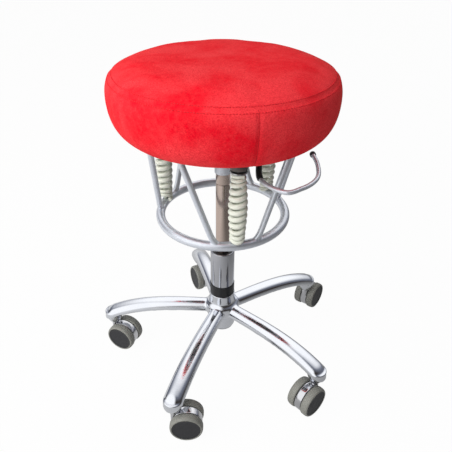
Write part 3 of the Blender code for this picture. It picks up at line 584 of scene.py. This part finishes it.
def buildCarrier(settings):
    sleeve = turnedPiece("carrierSleeve", settings["sleeve"], settings["sides"], solid=False)
    finishPiece(sleeve, "carrier", lacquer, ["carrier"])
    arm = squareBar(settings["armSize"], (0, -settings["armMiddle"], settings["armHeight"]))
    eyePlace = (0, -settings["eyeReach"], settings["armHeight"])
    cutOrWeld(arm, roundBar(settings["eye"], settings["armSize"][2], eyePlace), "UNION")
    cutOrWeld(arm, roundBar(settings["eyeBore"], settings["boreLength"], eyePlace), "DIFFERENCE")
    lugs = []
    across, reach, height = settings["lugMiddle"]
    pinRadius, pinReach, pinHeight = settings["pin"]
    for side in (-1, 1):
        lug = squareBar(settings["lugSize"], (side * across, -reach, height))
        pin = roundBar(pinRadius, settings["pinLength"], (0, -pinReach, pinHeight),
                       (0, math.pi / 2, 0))
        cutOrWeld(lug, pin, "DIFFERENCE")
        lugs += spread(lug, [((0, 0, 0), math.radians(settings["lugAngle"]))])
    arms = spread(arm, [((0, 0, 0), math.radians(angle)) for angle in springAngles])
    bracket = joinPieces(*arms, *lugs)
    bracket.name = "carrierArms"
    applyModifier(bracket, "BEVEL", width=settings["edge"], segments=2, limit_method="ANGLE")
    # painted shade: the arms, eyes and lugs are dark grey to stand in for the shade under the
    # cushion
    finishPiece(bracket, "carrier", shadeDarkenedSteel)


buildCarrier(carrierSet)
print("carrier welded")


# barrel springs
springSet = {
    "circle": 0.122, "top": 0.5132, "bottom": 0.3786,
    "wire": 0.0034, "bellyWire": 0.0047, "wireRamp": 1.5,
    "neck": 0.0125, "belly": 0.0170, "swellCurve": 1.5,
    "turns": 11.5, "endTurns": 2.0, "endPitch": 0.0078, "pointsPerTurn": 28, "sides": 18,
    "astride": 0.0050, "astrideTurns": 4.5, "flare": 0.0018, "flareCurve": 3, "footWire": 0.0008,
}


def springRoute(settings, outward):
    turns = settings["turns"]
    endTurns = settings["endTurns"]
    endPitch = settings["endPitch"]
    thin = settings["wire"]
    count = round(turns * settings["pointsPerTurn"])
    high = settings["top"] - thin
    low = settings["bottom"] + thin
    openPitch = (high - low - 2 * endTurns * endPitch) / (turns - 2 * endTurns)
    points = []
    thickness = []
    for i in range(count + 1):
        turn = turns * i / count
        angle = outward - 360 * turn  # right-handed
        fromEnd = min(turn, turns - turn)
        close = min(fromEnd, endTurns)
        drop = close * endPitch + (fromEnd - close) * openPitch
        height = high - drop if turn <= turns / 2 else low + drop
        swell = abs(math.sin(math.pi * i / count)) ** settings["swellCurve"]
        full = min(max((fromEnd - endTurns) / settings["wireRamp"], 0.0), 1.0)
        wire = thin + (settings["bellyWire"] - thin) * full ** 2 * (3 - 2 * full)
        radius = settings["neck"] + (settings["belly"] - settings["neck"]) * swell - wire
        # the lowest turns dip on both sides of the ring, so that the end sits astride it
        seated = max(1 - (turns - turn) / settings["astrideTurns"], 0.0)
        across = seated * math.cos(math.radians(angle - outward)) ** 2
        height -= settings["astride"] * across
        radius += settings["flare"] * seated ** settings["flareCurve"]
        wire += settings["footWire"] * across
        points.append(aroundAxis(radius, angle, height))
        thickness.append(wire / thin)
    for i, beside in ((0, 1), (-1, -2)):  # both ends run out level
        tangent = points[i] - points[beside]
        tangent.z = 0
        tail = points[i] + tangent.normalized() * 2 * thin
        points = [tail] + points if i == 0 else points + [tail]
    return points, [1.0] + thickness + [1.0]


def buildSprings(settings):
    for number, outward in enumerate(springAngles, 1):
        points, thickness = springRoute(settings, outward)
        place = aroundAxis(settings["circle"], outward)
        spring = bentRod(f"barrelSpring_{number}", [point + place for point in points],
                         settings["wire"], settings["sides"], thickness)
        finishPiece(spring, f"spring_{number}", cream,
                    [f"swing_spring_{number}"], sharp=60)


buildSprings(springSet)
print("springs wound")


# swing ring and its six legs, welded together
ringSet = {
    "radius": 0.122, "tube": 0.0088, "height": 0.368, "segments": (160, 32),
    "legRadius": 0.0055, "legSides": 20, "footAngle": 18.5, "toeAngle": 8.0,
    "topAngle": 42.5, "topRadius": 0.140, "topHeight": 0.5382, "bend": 0.026, "bendSteps": 8,
    "socket": [(0.0046, 0.020), (0.0046, 0.0027), (0.0053, 0.0), (0.0046, -0.0030),
               (0.0030, -0.0045)],
    "socketSides": 24, "socketHeight": 0.370, "voxel": 0.0012, "softening": 5,
}


def legRoute(settings, middle, side):
    # down from the plate, then in an even bend on to the ring
    radius = settings["radius"]
    height = settings["height"]
    footAngle = settings["footAngle"]
    foot = aroundAxis(radius, middle + side * footAngle, height)
    top = aroundAxis(settings["topRadius"], middle + side * settings["topAngle"],
                     settings["topHeight"])
    toe = aroundAxis(radius, middle + side * (footAngle - settings["toeAngle"]), height)
    knee = foot + (top - foot).normalized() * settings["bend"]
    route = [top, top.lerp(knee, 0.5)]
    for step in range(settings["bendSteps"] + 1):
        t = step / settings["bendSteps"]
        route.append(knee * (1 - t) ** 2 + foot * 2 * t * (1 - t) + toe * t ** 2)
    return route


def buildRing(settings):
    around, across = settings["segments"]
    bpy.ops.mesh.primitive_torus_add(
        major_radius=settings["radius"], minor_radius=settings["tube"],
        major_segments=around, minor_segments=across, location=(0, 0, settings["height"]))
    ring = bpy.context.object
    ring.name = "swingRing"
    bpy.ops.object.transform_apply()
    legs = []
    for middle in springAngles:
        for side in (-1, 1):
            legs.append(bentRod("leg", legRoute(settings, middle, side),
                                settings["legRadius"], settings["legSides"]))
        socket = turnedPiece("socket", settings["socket"], settings["socketSides"])
        socket.location = aroundAxis(settings["radius"], middle, settings["socketHeight"])
        cutOrWeld(ring, socket, "DIFFERENCE")
    ring = joinPieces(ring, *legs)
    castInOne(ring, settings["voxel"], settings["softening"])
    finishPiece(ring, "swing_frame", lacquer,
                ["swing_ring"] + [f"swing_leg_{i + 1}" for i in range(len(legs))], sharp=60)


buildRing(ringSet)
print("ring and legs welded")


# screws that hold the seat plate to the board, and the weld beads where the legs meet the plate
plateSet = {
    "under": 0.5385, "screws": 6, "screwCircle": 0.104, "firstScrew": 42.0, "screwTurn": 3,
    "head": [(0.0046, 0.0), (0.0046, -0.0009), (0.0042, -0.0018), (0.0034, -0.0024),
             (0.0022, -0.0027)],
    "headSides": 32, "slot": (0.0056, 0.0010, 0.0024), "slotHeight": -0.0027,
    "beadTube": 0.0016, "beadRadius": 0.0062, "beadSegments": (48, 12), "beadCut": 0.0002,
    "beadSink": 0.0003, "rippleDepth": 0.16, "ripples": 14,
}


def plateScrews(settings):
    screw = turnedPiece("screw", settings["head"], settings["headSides"])
    for turn in (0.0, math.pi / 2):
        slot = squareBar(settings["slot"], (0, 0, settings["slotHeight"]))
        slot.rotation_euler = (0, 0, turn)
        cutOrWeld(screw, slot, "DIFFERENCE")
    places = []
    for i in range(settings["screws"]):
        angle = settings["firstScrew"] + 360 * i / settings["screws"]
        place = aroundAxis(settings["screwCircle"], angle, settings["under"])
        places.append((place, math.radians(angle * settings["screwTurn"])))
    screws = joinPieces(*spread(screw, places))
    screws.name = "plateScrews"
    finishPiece(screws, "swing_frame", zinc)


def legWelds(settings):
    around, across = settings["beadSegments"]
    bpy.ops.mesh.primitive_torus_add(
        major_radius=settings["beadRadius"], minor_radius=settings["beadTube"],
        major_segments=around, minor_segments=across)
    bead = bpy.context.object
    editAll()  # the upper half of the bead runs into the plate
    bpy.ops.mesh.bisect(plane_co=(0, 0, settings["beadCut"]), plane_no=(0, 0, 1),
                        use_fill=True, clear_outer=True)
    bpy.ops.object.mode_set(mode="OBJECT")
    for vertex in bead.data.vertices:  # the ripples of a hand-laid weld
        angle = math.atan2(vertex.co.y, vertex.co.x)
        vertex.co.z *= 1 + settings["rippleDepth"] * math.sin(settings["ripples"] * angle)
    places = []
    height = settings["under"] - settings["beadSink"]
    for middle in springAngles:
        for side in (-1, 1):
            angle = middle + side * ringSet["topAngle"]
            places.append((aroundAxis(ringSet["topRadius"], angle, height), 0.0))
    beads = joinPieces(*spread(bead, places))
    beads.name = "legWelds"
    finishPiece(beads, "swing_frame", lacquer, sharp=60)


plateScrews(plateSet)
legWelds(plateSet)
print("plate screwed and welded")


# release bow with its sleeve and end cap, the route in radius, angle and height
bowSet = {
    "rod": 0.004, "sides": 20, "root": (0.0427, 62.0, 0.5225),
    "route": [(0.0489, 62.0, 0.5225), (0.085, 45.0, 0.5101), (0.135, 27.3, 0.500),
              (0.1876, 31.0, 0.500), (0.1941, 40.0, 0.500), (0.1941, 49.0, 0.500),
              (0.1876, 58.0, 0.500), (0.173, 71.0, 0.500), (0.162, 84.0, 0.500)],
    "steps": 12, "sleeve": 0.0055, "sleeveFrom": 10, "sleeveTo": 26, "sleeveEnd": 0.72,
    "cap": [(0.0043, -0.0064), (0.0052, -0.0064), (0.0055, -0.0058), (0.0055, 0.0003),
            (0.0050, 0.0011), (0.0038, 0.0016), (0.0010, 0.0018)],
    "capSides": 32,
}


def buildBow(settings):
    route = smoothRoute([aroundAxis(*point) for point in settings["route"]], settings["steps"])
    path = [aroundAxis(*settings["root"]), *route]
    bow = bentRod("releaseBow", path, settings["rod"], settings["sides"])
    finishPiece(bow, "release_bow", lacquer, ["release_bow"])
    covered = path[settings["sleeveFrom"]:settings["sleeveTo"]]
    shares = [1.0] * len(covered)
    shares[0] = shares[-1] = settings["sleeveEnd"]
    sleeve = bentRod("bowSleeve", covered, settings["sleeve"], settings["sides"], shares)
    finishPiece(sleeve, "release_bow", blackRubber, ["bow_sleeve"])
    tail = (path[-1] - path[-2]).normalized()
    cap = turnedPiece("bowEndCap", settings["cap"], settings["capSides"])
    cap.rotation_euler = Vector((0, 0, 1)).rotation_difference(tail).to_euler()
    cap.location = path[-1]
    finishPiece(cap, "release_bow", blackRubber, ["bow_end_cap"])


buildBow(bowSet)
print("release bow bent")


# casters, modelled once round the axle and copied to the five arms
casterSet = {
    "axleHeight": 0.0325, "trail": 0.024,
    "headings": (-24.0, 0.0, 43.0, 53.0, -65.0), "trailSides": (1, 1, -1, 1, 1),
    "hood": [(0.0200, -0.0076), (0.0288, -0.0076), (0.0297, -0.0073), (0.0302, -0.0066),
             (0.0304, -0.0054), (0.0305, -0.0030), (0.0305, 0.0030), (0.0304, 0.0054),
             (0.0302, 0.0066), (0.0297, 0.0073), (0.0288, 0.0076), (0.0200, 0.0076)],
    "neck": [(0.0073, 0.0000), (0.0073, 0.0284), (0.0069, 0.0290), (0.0060, 0.0292)],
    "tread": [(0.0278, 0.0244), (0.0284, 0.0250), (0.0292, 0.0251), (0.0302, 0.0247),
              (0.0311, 0.0238), (0.0318, 0.0223), (0.0323, 0.0202), (0.0325, 0.0178),
              (0.0325, 0.0132), (0.0322, 0.0110), (0.0316, 0.0097), (0.0306, 0.0090),
              (0.0278, 0.0090), (0.0278, 0.0244)],
    "disc": [(0.0062, 0.0084), (0.0270, 0.0084), (0.0277, 0.0091), (0.0277, 0.0241),
             (0.0274, 0.0245), (0.0268, 0.0246), (0.0260, 0.0243), (0.0245, 0.0240),
             (0.0200, 0.0239), (0.0100, 0.0239), (0.0010, 0.0239)],
    "sides": 96, "neckSides": 48,
}


def buildCasters(settings):
    sides = settings["sides"]
    hood = turnedPiece("hood", settings["hood"], sides)
    hood.rotation_euler = (math.pi / 2, 0, 0)
    neck = turnedPiece("neck", settings["neck"], settings["neckSides"])
    neck.location = (-settings["trail"], 0, 0)
    hood = joinPieces(hood, neck)
    tread = turnedPiece("tread", settings["tread"], sides, solid=False)
    disc = turnedPiece("disc", settings["disc"], sides)
    for piece in (tread, disc):  # the lathe axis laid along the axle, outer face towards +Y
        piece.rotation_euler = (-math.pi / 2, 0, 0)
    pick(hood, tread, disc)
    bpy.ops.object.transform_apply()
    for i in range(baseSet["arms"]):
        number = i + 1
        face = math.radians(settings["headings"][i])
        along = Vector((math.cos(face), math.sin(face), 0)) * settings["trailSides"][i]
        across = Vector((math.sin(face), -math.cos(face), 0))
        armAngle = baseSet["firstArm"] + 360 / baseSet["arms"] * i
        stem = aroundAxis(baseSet["stemCircle"], armAngle, settings["axleHeight"])
        axle = stem + along * settings["trail"]
        copy = copyPiece(hood, f"casterHood_{number}", axle, math.atan2(along.y, along.x))
        finishPiece(copy, f"caster_{number}", hoodChrome, [f"caster_hood_{number}"])
        for word, out in (("left", -across), ("right", across)):
            turn = math.atan2(out.y, out.x) - math.pi / 2
            wheel = f"{number}_{word}"
            rim = copyPiece(tread, f"wheelTread_{wheel}", axle, turn)
            finishPiece(rim, f"wheel_{wheel}", treadRubber,
                        [f"caster_wheel_{wheel}"])
            cover = copyPiece(disc, f"wheelDisc_{wheel}", axle, turn)
            finishPiece(cover, f"wheel_{wheel}", discPlastic)
    for piece in (hood, tread, disc):
        bpy.data.objects.remove(piece)


buildCasters(casterSet)
print("casters fitted")


# seat cushion: its form, the filling, the seams and the stitches
cushionSet = {
    "radius": 0.2024, "foot": 0.1483, "bottom": 0.5415, "height": 0.1255, "belly": 0.077,
    "crownFullness": 3.4, "lowerFullness": 2.6, "slack": 0.0023,
    "crownSteps": 24, "lowerSteps": 16, "segments": 128,
    "voxel": 0.005, "pressure": 4.0, "stiffness": 40, "bending": 4, "frames": 20,
    "held": 0.008, "cap": 0.003, "foamCap": 0.001, "evening": 28, "quickRise": 0.02,
    "flatTop": 0.12, "hem": 0.004, "lumpScale": 16, "lump": 0.0007,
    "seamHeight": 0.642, "seamDepth": 0.0016, "seamWidth": 0.0030,
    "sideSeam": 14.6, "sideDepth": 0.0011, "foldPoints": 60, "foldRadius": 0.0003, "foldSides": 8,
    "rowHeights": (-0.0037, 0.0037), "rowCircle": 0.196, "stitchPitch": 0.0046,
    "stitchSize": (0.0018, 0.0009, 0.0008), "lift": 0.0001, "outside": 0.3,
}


def cushionRings(settings):
    radius = settings["radius"] - settings["slack"]
    foot = settings["foot"]
    belly = settings["bottom"] + settings["belly"]
    crown = settings["height"] - settings["belly"] - settings["slack"]
    rings = []
    power = 2 / settings["crownFullness"]
    for i in range(1, settings["crownSteps"]):
        angle = math.radians(90 - 90 * i / settings["crownSteps"])
        rings.append((radius * math.cos(angle) ** power, belly + crown * math.sin(angle) ** power))
    power = 2 / settings["lowerFullness"]
    for i in range(settings["lowerSteps"] + 1):
        angle = math.radians(90 * i / settings["lowerSteps"])
        rings.append((foot + (radius - foot) * max(math.cos(angle), 0) ** power,
                      belly - settings["belly"] * math.sin(angle) ** power))
    return rings


def inflate(piece, settings):
    # the cover filled out by air pressure, its foot held on the board: a point moves out no
    # further than the cap, and hardly inwards, where the foam holds it
    remeshPiece(piece, settings["voxel"])
    points = piece.data.vertices
    start = [(vertex.co.copy(), vertex.normal.copy()) for vertex in points]
    held = piece.vertex_groups.new(name="held")
    limit = settings["bottom"] + settings["held"]
    held.add([vertex.index for vertex in points if vertex.co.z < limit], 1.0, "REPLACE")
    cloth = piece.modifiers.new("fill", "CLOTH")
    cloth.settings.use_pressure = True
    cloth.settings.uniform_pressure_force = settings["pressure"]
    cloth.settings.effector_weights.gravity = 0.0
    cloth.settings.vertex_group_mass = "held"
    cloth.settings.tension_stiffness = settings["stiffness"]
    cloth.settings.compression_stiffness = settings["stiffness"]
    cloth.settings.bending_stiffness = settings["bending"]
    for step in range(1, settings["frames"] + 1):
        scene.frame_set(step)
    pick(piece)
    bpy.ops.object.modifier_apply(modifier=cloth.name)
    scene.frame_set(1)
    for vertex, (before, outward) in zip(piece.data.vertices, start):
        moved = vertex.co - before
        most = settings["cap"] if moved.dot(outward) > 0 else settings["foamCap"]
        if moved.length > most:
            vertex.co = before + moved * (most / moved.length)
    piece.vertex_groups.clear()
    applyModifier(piece, "SMOOTH", factor=0.5, iterations=settings["evening"])


def dressSeat(piece, settings):
    # the seams drawn in, and the soft unevenness of foam under a stretched cover
    for vertex in piece.data.vertices:
        away = vertex.co.copy()
        away.z = 0
        if away.length < settings["flatTop"]:
            continue
        if vertex.co.z < settings["bottom"] + settings["hem"]:
            continue
        angle = math.degrees(math.atan2(vertex.co.x, -vertex.co.y))
        lump = noise.noise(vertex.co * settings["lumpScale"]) * settings["lump"]
        across = (vertex.co.z - settings["seamHeight"]) / settings["seamWidth"]
        groove = settings["seamDepth"] * math.exp(-across ** 2)
        aside = math.radians(angle - settings["sideSeam"]) * away.length / settings["seamWidth"]
        if vertex.co.z < settings["seamHeight"]:
            groove = max(groove, settings["sideDepth"] * math.exp(-aside ** 2))
        vertex.co += away.normalized() * (lump - groove)


def coverPoint(tree, settings, outward, height):
    # where the cover meets a level line from outside, and the way it faces there
    start = outward * settings["outside"] + Vector((0, 0, height))
    return tree.ray_cast(start, -outward)[:2]


def stitchRows(cushion, settings):
    # small thread stitches laid on the cover beside the seam, one stitch modelled and copied
    tree = BVHTree.FromObject(cushion, bpy.context.evaluated_depsgraph_get())
    places = []
    count = round(2 * math.pi * settings["rowCircle"] / settings["stitchPitch"])
    for row in settings["rowHeights"]:
        for i in range(count):
            outward = aroundAxis(1.0, 360 * i / count)
            hit, normal = coverPoint(tree, settings, outward, settings["seamHeight"] + row)
            if hit:
                places.append((hit, normal, Vector((0, 0, 1)).cross(outward)))
    bpy.ops.mesh.primitive_uv_sphere_add(segments=8, ring_count=5, radius=1.0)
    stitch = bpy.context.object
    stitch.scale = settings["stitchSize"]
    bpy.ops.object.transform_apply()
    points = [vertex.co.copy() for vertex in stitch.data.vertices]
    faces = [tuple(polygon.vertices) for polygon in stitch.data.polygons]
    bpy.data.objects.remove(stitch)
    allPoints = []
    allFaces = []
    for hit, normal, lengthwise in places:
        beside = normal.cross(lengthwise).normalized()
        base = len(allPoints)
        for point in points:
            raised = normal * (point.z + settings["lift"])
            allPoints.append(hit + lengthwise * point.x + beside * point.y + raised)
        allFaces += [tuple(base + index for index in face) for face in faces]
    mesh = bpy.data.meshes.new("seatStitching")
    mesh.from_pydata(allPoints, [], allFaces)
    rows = bpy.data.objects.new("seatStitching", mesh)
    scene.collection.objects.link(rows)
    pick(rows)
    editAll()
    closeEdit()
    finishPiece(rows, "swing_frame", thread, sharp=80)


def sideSeam(cushion, settings):
    # the folded edge where the side strip's two ends meet, sunk in its groove
    tree = BVHTree.FromObject(cushion, bpy.context.evaluated_depsgraph_get())
    outward = aroundAxis(1.0, settings["sideSeam"])
    low = settings["bottom"] + settings["hem"]
    rise = settings["seamHeight"] - settings["bottom"] - settings["hem"]
    last = settings["foldPoints"] - 1
    upright = []
    for i in range(last + 1):
        hit = coverPoint(tree, settings, outward, low + rise * i / last)[0]
        upright.append(hit + outward * settings["lift"])
    fold = bentRod("seatSideSeam", upright, settings["foldRadius"], settings["foldSides"])
    finishPiece(fold, "swing_frame", foldedEdge, sharp=80)


def buildSeat(settings):
    cushion = turnedPiece("seatCushion", cushionRings(settings), settings["segments"])
    inflate(cushion, settings)
    applyModifier(cushion, "SUBSURF", levels=1, render_levels=1)
    dressSeat(cushion, settings)
    stitchRows(cushion, settings)
    sideSeam(cushion, settings)
    finishPiece(cushion, "swing_frame", suede, ["seat_cushion"], sharp=80)


buildSeat(cushionSet)
print("seat upholstered")


# solids that keep their own shape get the same finishes
nodeFinish = {
    "polished_aluminium": castAluminium, "chrome": columnChrome, "silver_lacquer": lacquer,
    "zinc_steel": zinc, "black_plastic": blackPlastic, "cream_coating": cream,
    "grey_tread": treadRubber, "birch_plywood": plywood, "red_microfibre": suede,
}
# painted shade: the seat plate is dark so that the metal below mirrors a shaded underside
ownFinish = {"seat_plate": shadeDarkenedSteel, "foot_stud_1": cream, "foot_stud_2": cream,
             "foot_stud_3": cream}
for name, node in nodes.items():
    for slot in node.material_slots:
        key = slot.material.name.split(".")[0] if slot.material else ""
        slot.material = ownFinish.get(name, nodeFinish.get(key, zinc))
print("solids finished")


# floor, room and lamps; a lamp is a name, a power, a size and a place
stageSet = {
    "floorSize": 30.0, "floorHeight": -0.0005, "floorColour": "#D9D9D9", "floorGlow": 0.97,
    "mirrorReach": 0.6, "mirrorLeft": 0.8, "mirrorRight": 0.2, "spread": (-0.6, 1.0),
    "brightSide": (-0.62, -0.48, 0.62), "roomStrength": 0.46,
    "room": ((0.2, "#1E1A19"), (0.44, "#7E7B7F"), (0.66, "#FFFFFF")),
    "backdropSide": (0.1, 0.58, 0.81), "backdropStrength": 1.2,
    "backdrop": ((0.42, "#363230"), (0.68, "#727682"), (0.9, "#FFFFFF")),
    "windowSide": (-0.67, -0.54, 0.51), "windowFade": (0.68, 0.84),
    "lamps": (("keyLamp", 46.0, 2.0, (-1.5, -1.2, 1.5)),
              ("topLamp", 14.0, 2.2, (-0.3, -0.2, 2.3))),
    "lampAim": (0, 0, 0.45),
}
white = (1, 1, 1, 1)


def addFloor(settings):
    bpy.ops.mesh.primitive_plane_add(size=settings["floorSize"],
                                     location=(0, 0, settings["floorHeight"]))
    floor = bpy.context.object
    floor.name = "studioFloor"
    material, tree, shader, coords = startMaterial("paleFloorPaint")
    setInputs(tree, shader, {"Base Color": hexColour(settings["floorColour"]), "Roughness": 0.8})
    path = addNode(tree, "ShaderNodeLightPath")
    glossy = path.outputs["Is Glossy Ray"]
    share = addNode(tree, "ShaderNodeMath",
                    {0: path.outputs["Is Camera Ray"], 1: settings["floorGlow"], 2: glossy},
                    operation="MULTIPLY_ADD", use_clamp=True)
    # painted light: in reflections the floor glows, bright on the window side and dim on the other
    sideways = addNode(tree, "ShaderNodeSeparateXYZ", {0: coords})
    mirrored = remap(tree, sideways.outputs["X"], settings["mirrorLeft"], settings["mirrorRight"],
                     -settings["mirrorReach"], settings["mirrorReach"])
    level = addNode(tree, "ShaderNodeMix", {"Factor": glossy, "A": 1.0, "B": mirrored})
    glow = addNode(tree, "ShaderNodeEmission", {"Color": white, "Strength": level.outputs[0]})
    mixed = addNode(tree, "ShaderNodeMixShader",
                    {0: share.outputs[0], 1: shader.outputs[0], 2: glow.outputs[0]})
    setInputs(tree, tree.nodes["Material Output"], {"Surface": mixed.outputs[0]})
    floor.data.materials.append(material)


def towards(tree, direction, side):
    facing = addNode(tree, "ShaderNodeVectorMath", {0: direction, 1: side},
                     operation="DOT_PRODUCT")
    return facing.outputs["Value"]


def addRoom(settings):
    # a room that is bright towards the window side lights the stool; the metal mirrors a banded
    # backdrop with a window in it, and the camera sees plain white
    world = bpy.data.worlds.new("studioRoom")
    scene.world = world
    world.use_nodes = True
    tree = world.node_tree
    direction = addNode(tree, "ShaderNodeTexCoord").outputs["Generated"]
    views = []
    for side, bands, strength in (("brightSide", "room", "roomStrength"),
                                  ("backdropSide", "backdrop", "backdropStrength")):
        facing = towards(tree, direction, settings[side])
        place = remap(tree, facing, 0.0, 1.0, *settings["spread"])
        ramp = addNode(tree, "ShaderNodeValToRGB", {"Fac": place})
        stops = ramp.color_ramp.elements
        stops.new(0.5)  # a third stop, moved to its place with the others
        for stop, (position, code) in zip(stops, settings[bands]):
            stop.position = position
            stop.color = hexColour(code)
        colour = ramp.outputs["Color"]
        if side == "backdropSide":  # the window that the key lamp stands for
            facing = towards(tree, direction, settings["windowSide"])
            window = remap(tree, facing, 0.0, 1.0, *settings["windowFade"])
            colour = blend(tree, window, colour, white)
        views.append(addNode(tree, "ShaderNodeBackground",
                             {"Color": colour, "Strength": settings[strength]}))
    paper = addNode(tree, "ShaderNodeBackground", {"Color": white, "Strength": 1.0})
    path = addNode(tree, "ShaderNodeLightPath")
    seen = views[0].outputs[0]
    for ray, other in (("Is Glossy Ray", views[1]), ("Is Camera Ray", paper)):
        mixed = addNode(tree, "ShaderNodeMixShader",
                        {0: path.outputs[ray], 1: seen, 2: other.outputs[0]})
        seen = mixed.outputs[0]
    setInputs(tree, tree.nodes["World Output"], {"Surface": seen})


def addLamps(settings):
    for name, power, size, place in settings["lamps"]:
        lamp = bpy.data.lights.new(name, "AREA")
        lamp.energy = power
        lamp.size = size
        holder = bpy.data.objects.new(name, lamp)
        scene.collection.objects.link(holder)
        holder.location = place
        holder.visible_glossy = False  # the metal mirrors the room, not the lamp's hard edge
        aim = Vector(settings["lampAim"]) - Vector(place)
        holder.rotation_euler = aim.to_track_quat("-Z", "Y").to_euler()


addFloor(stageSet)
addRoom(stageSet)
addLamps(stageSet)
print("stage lit")
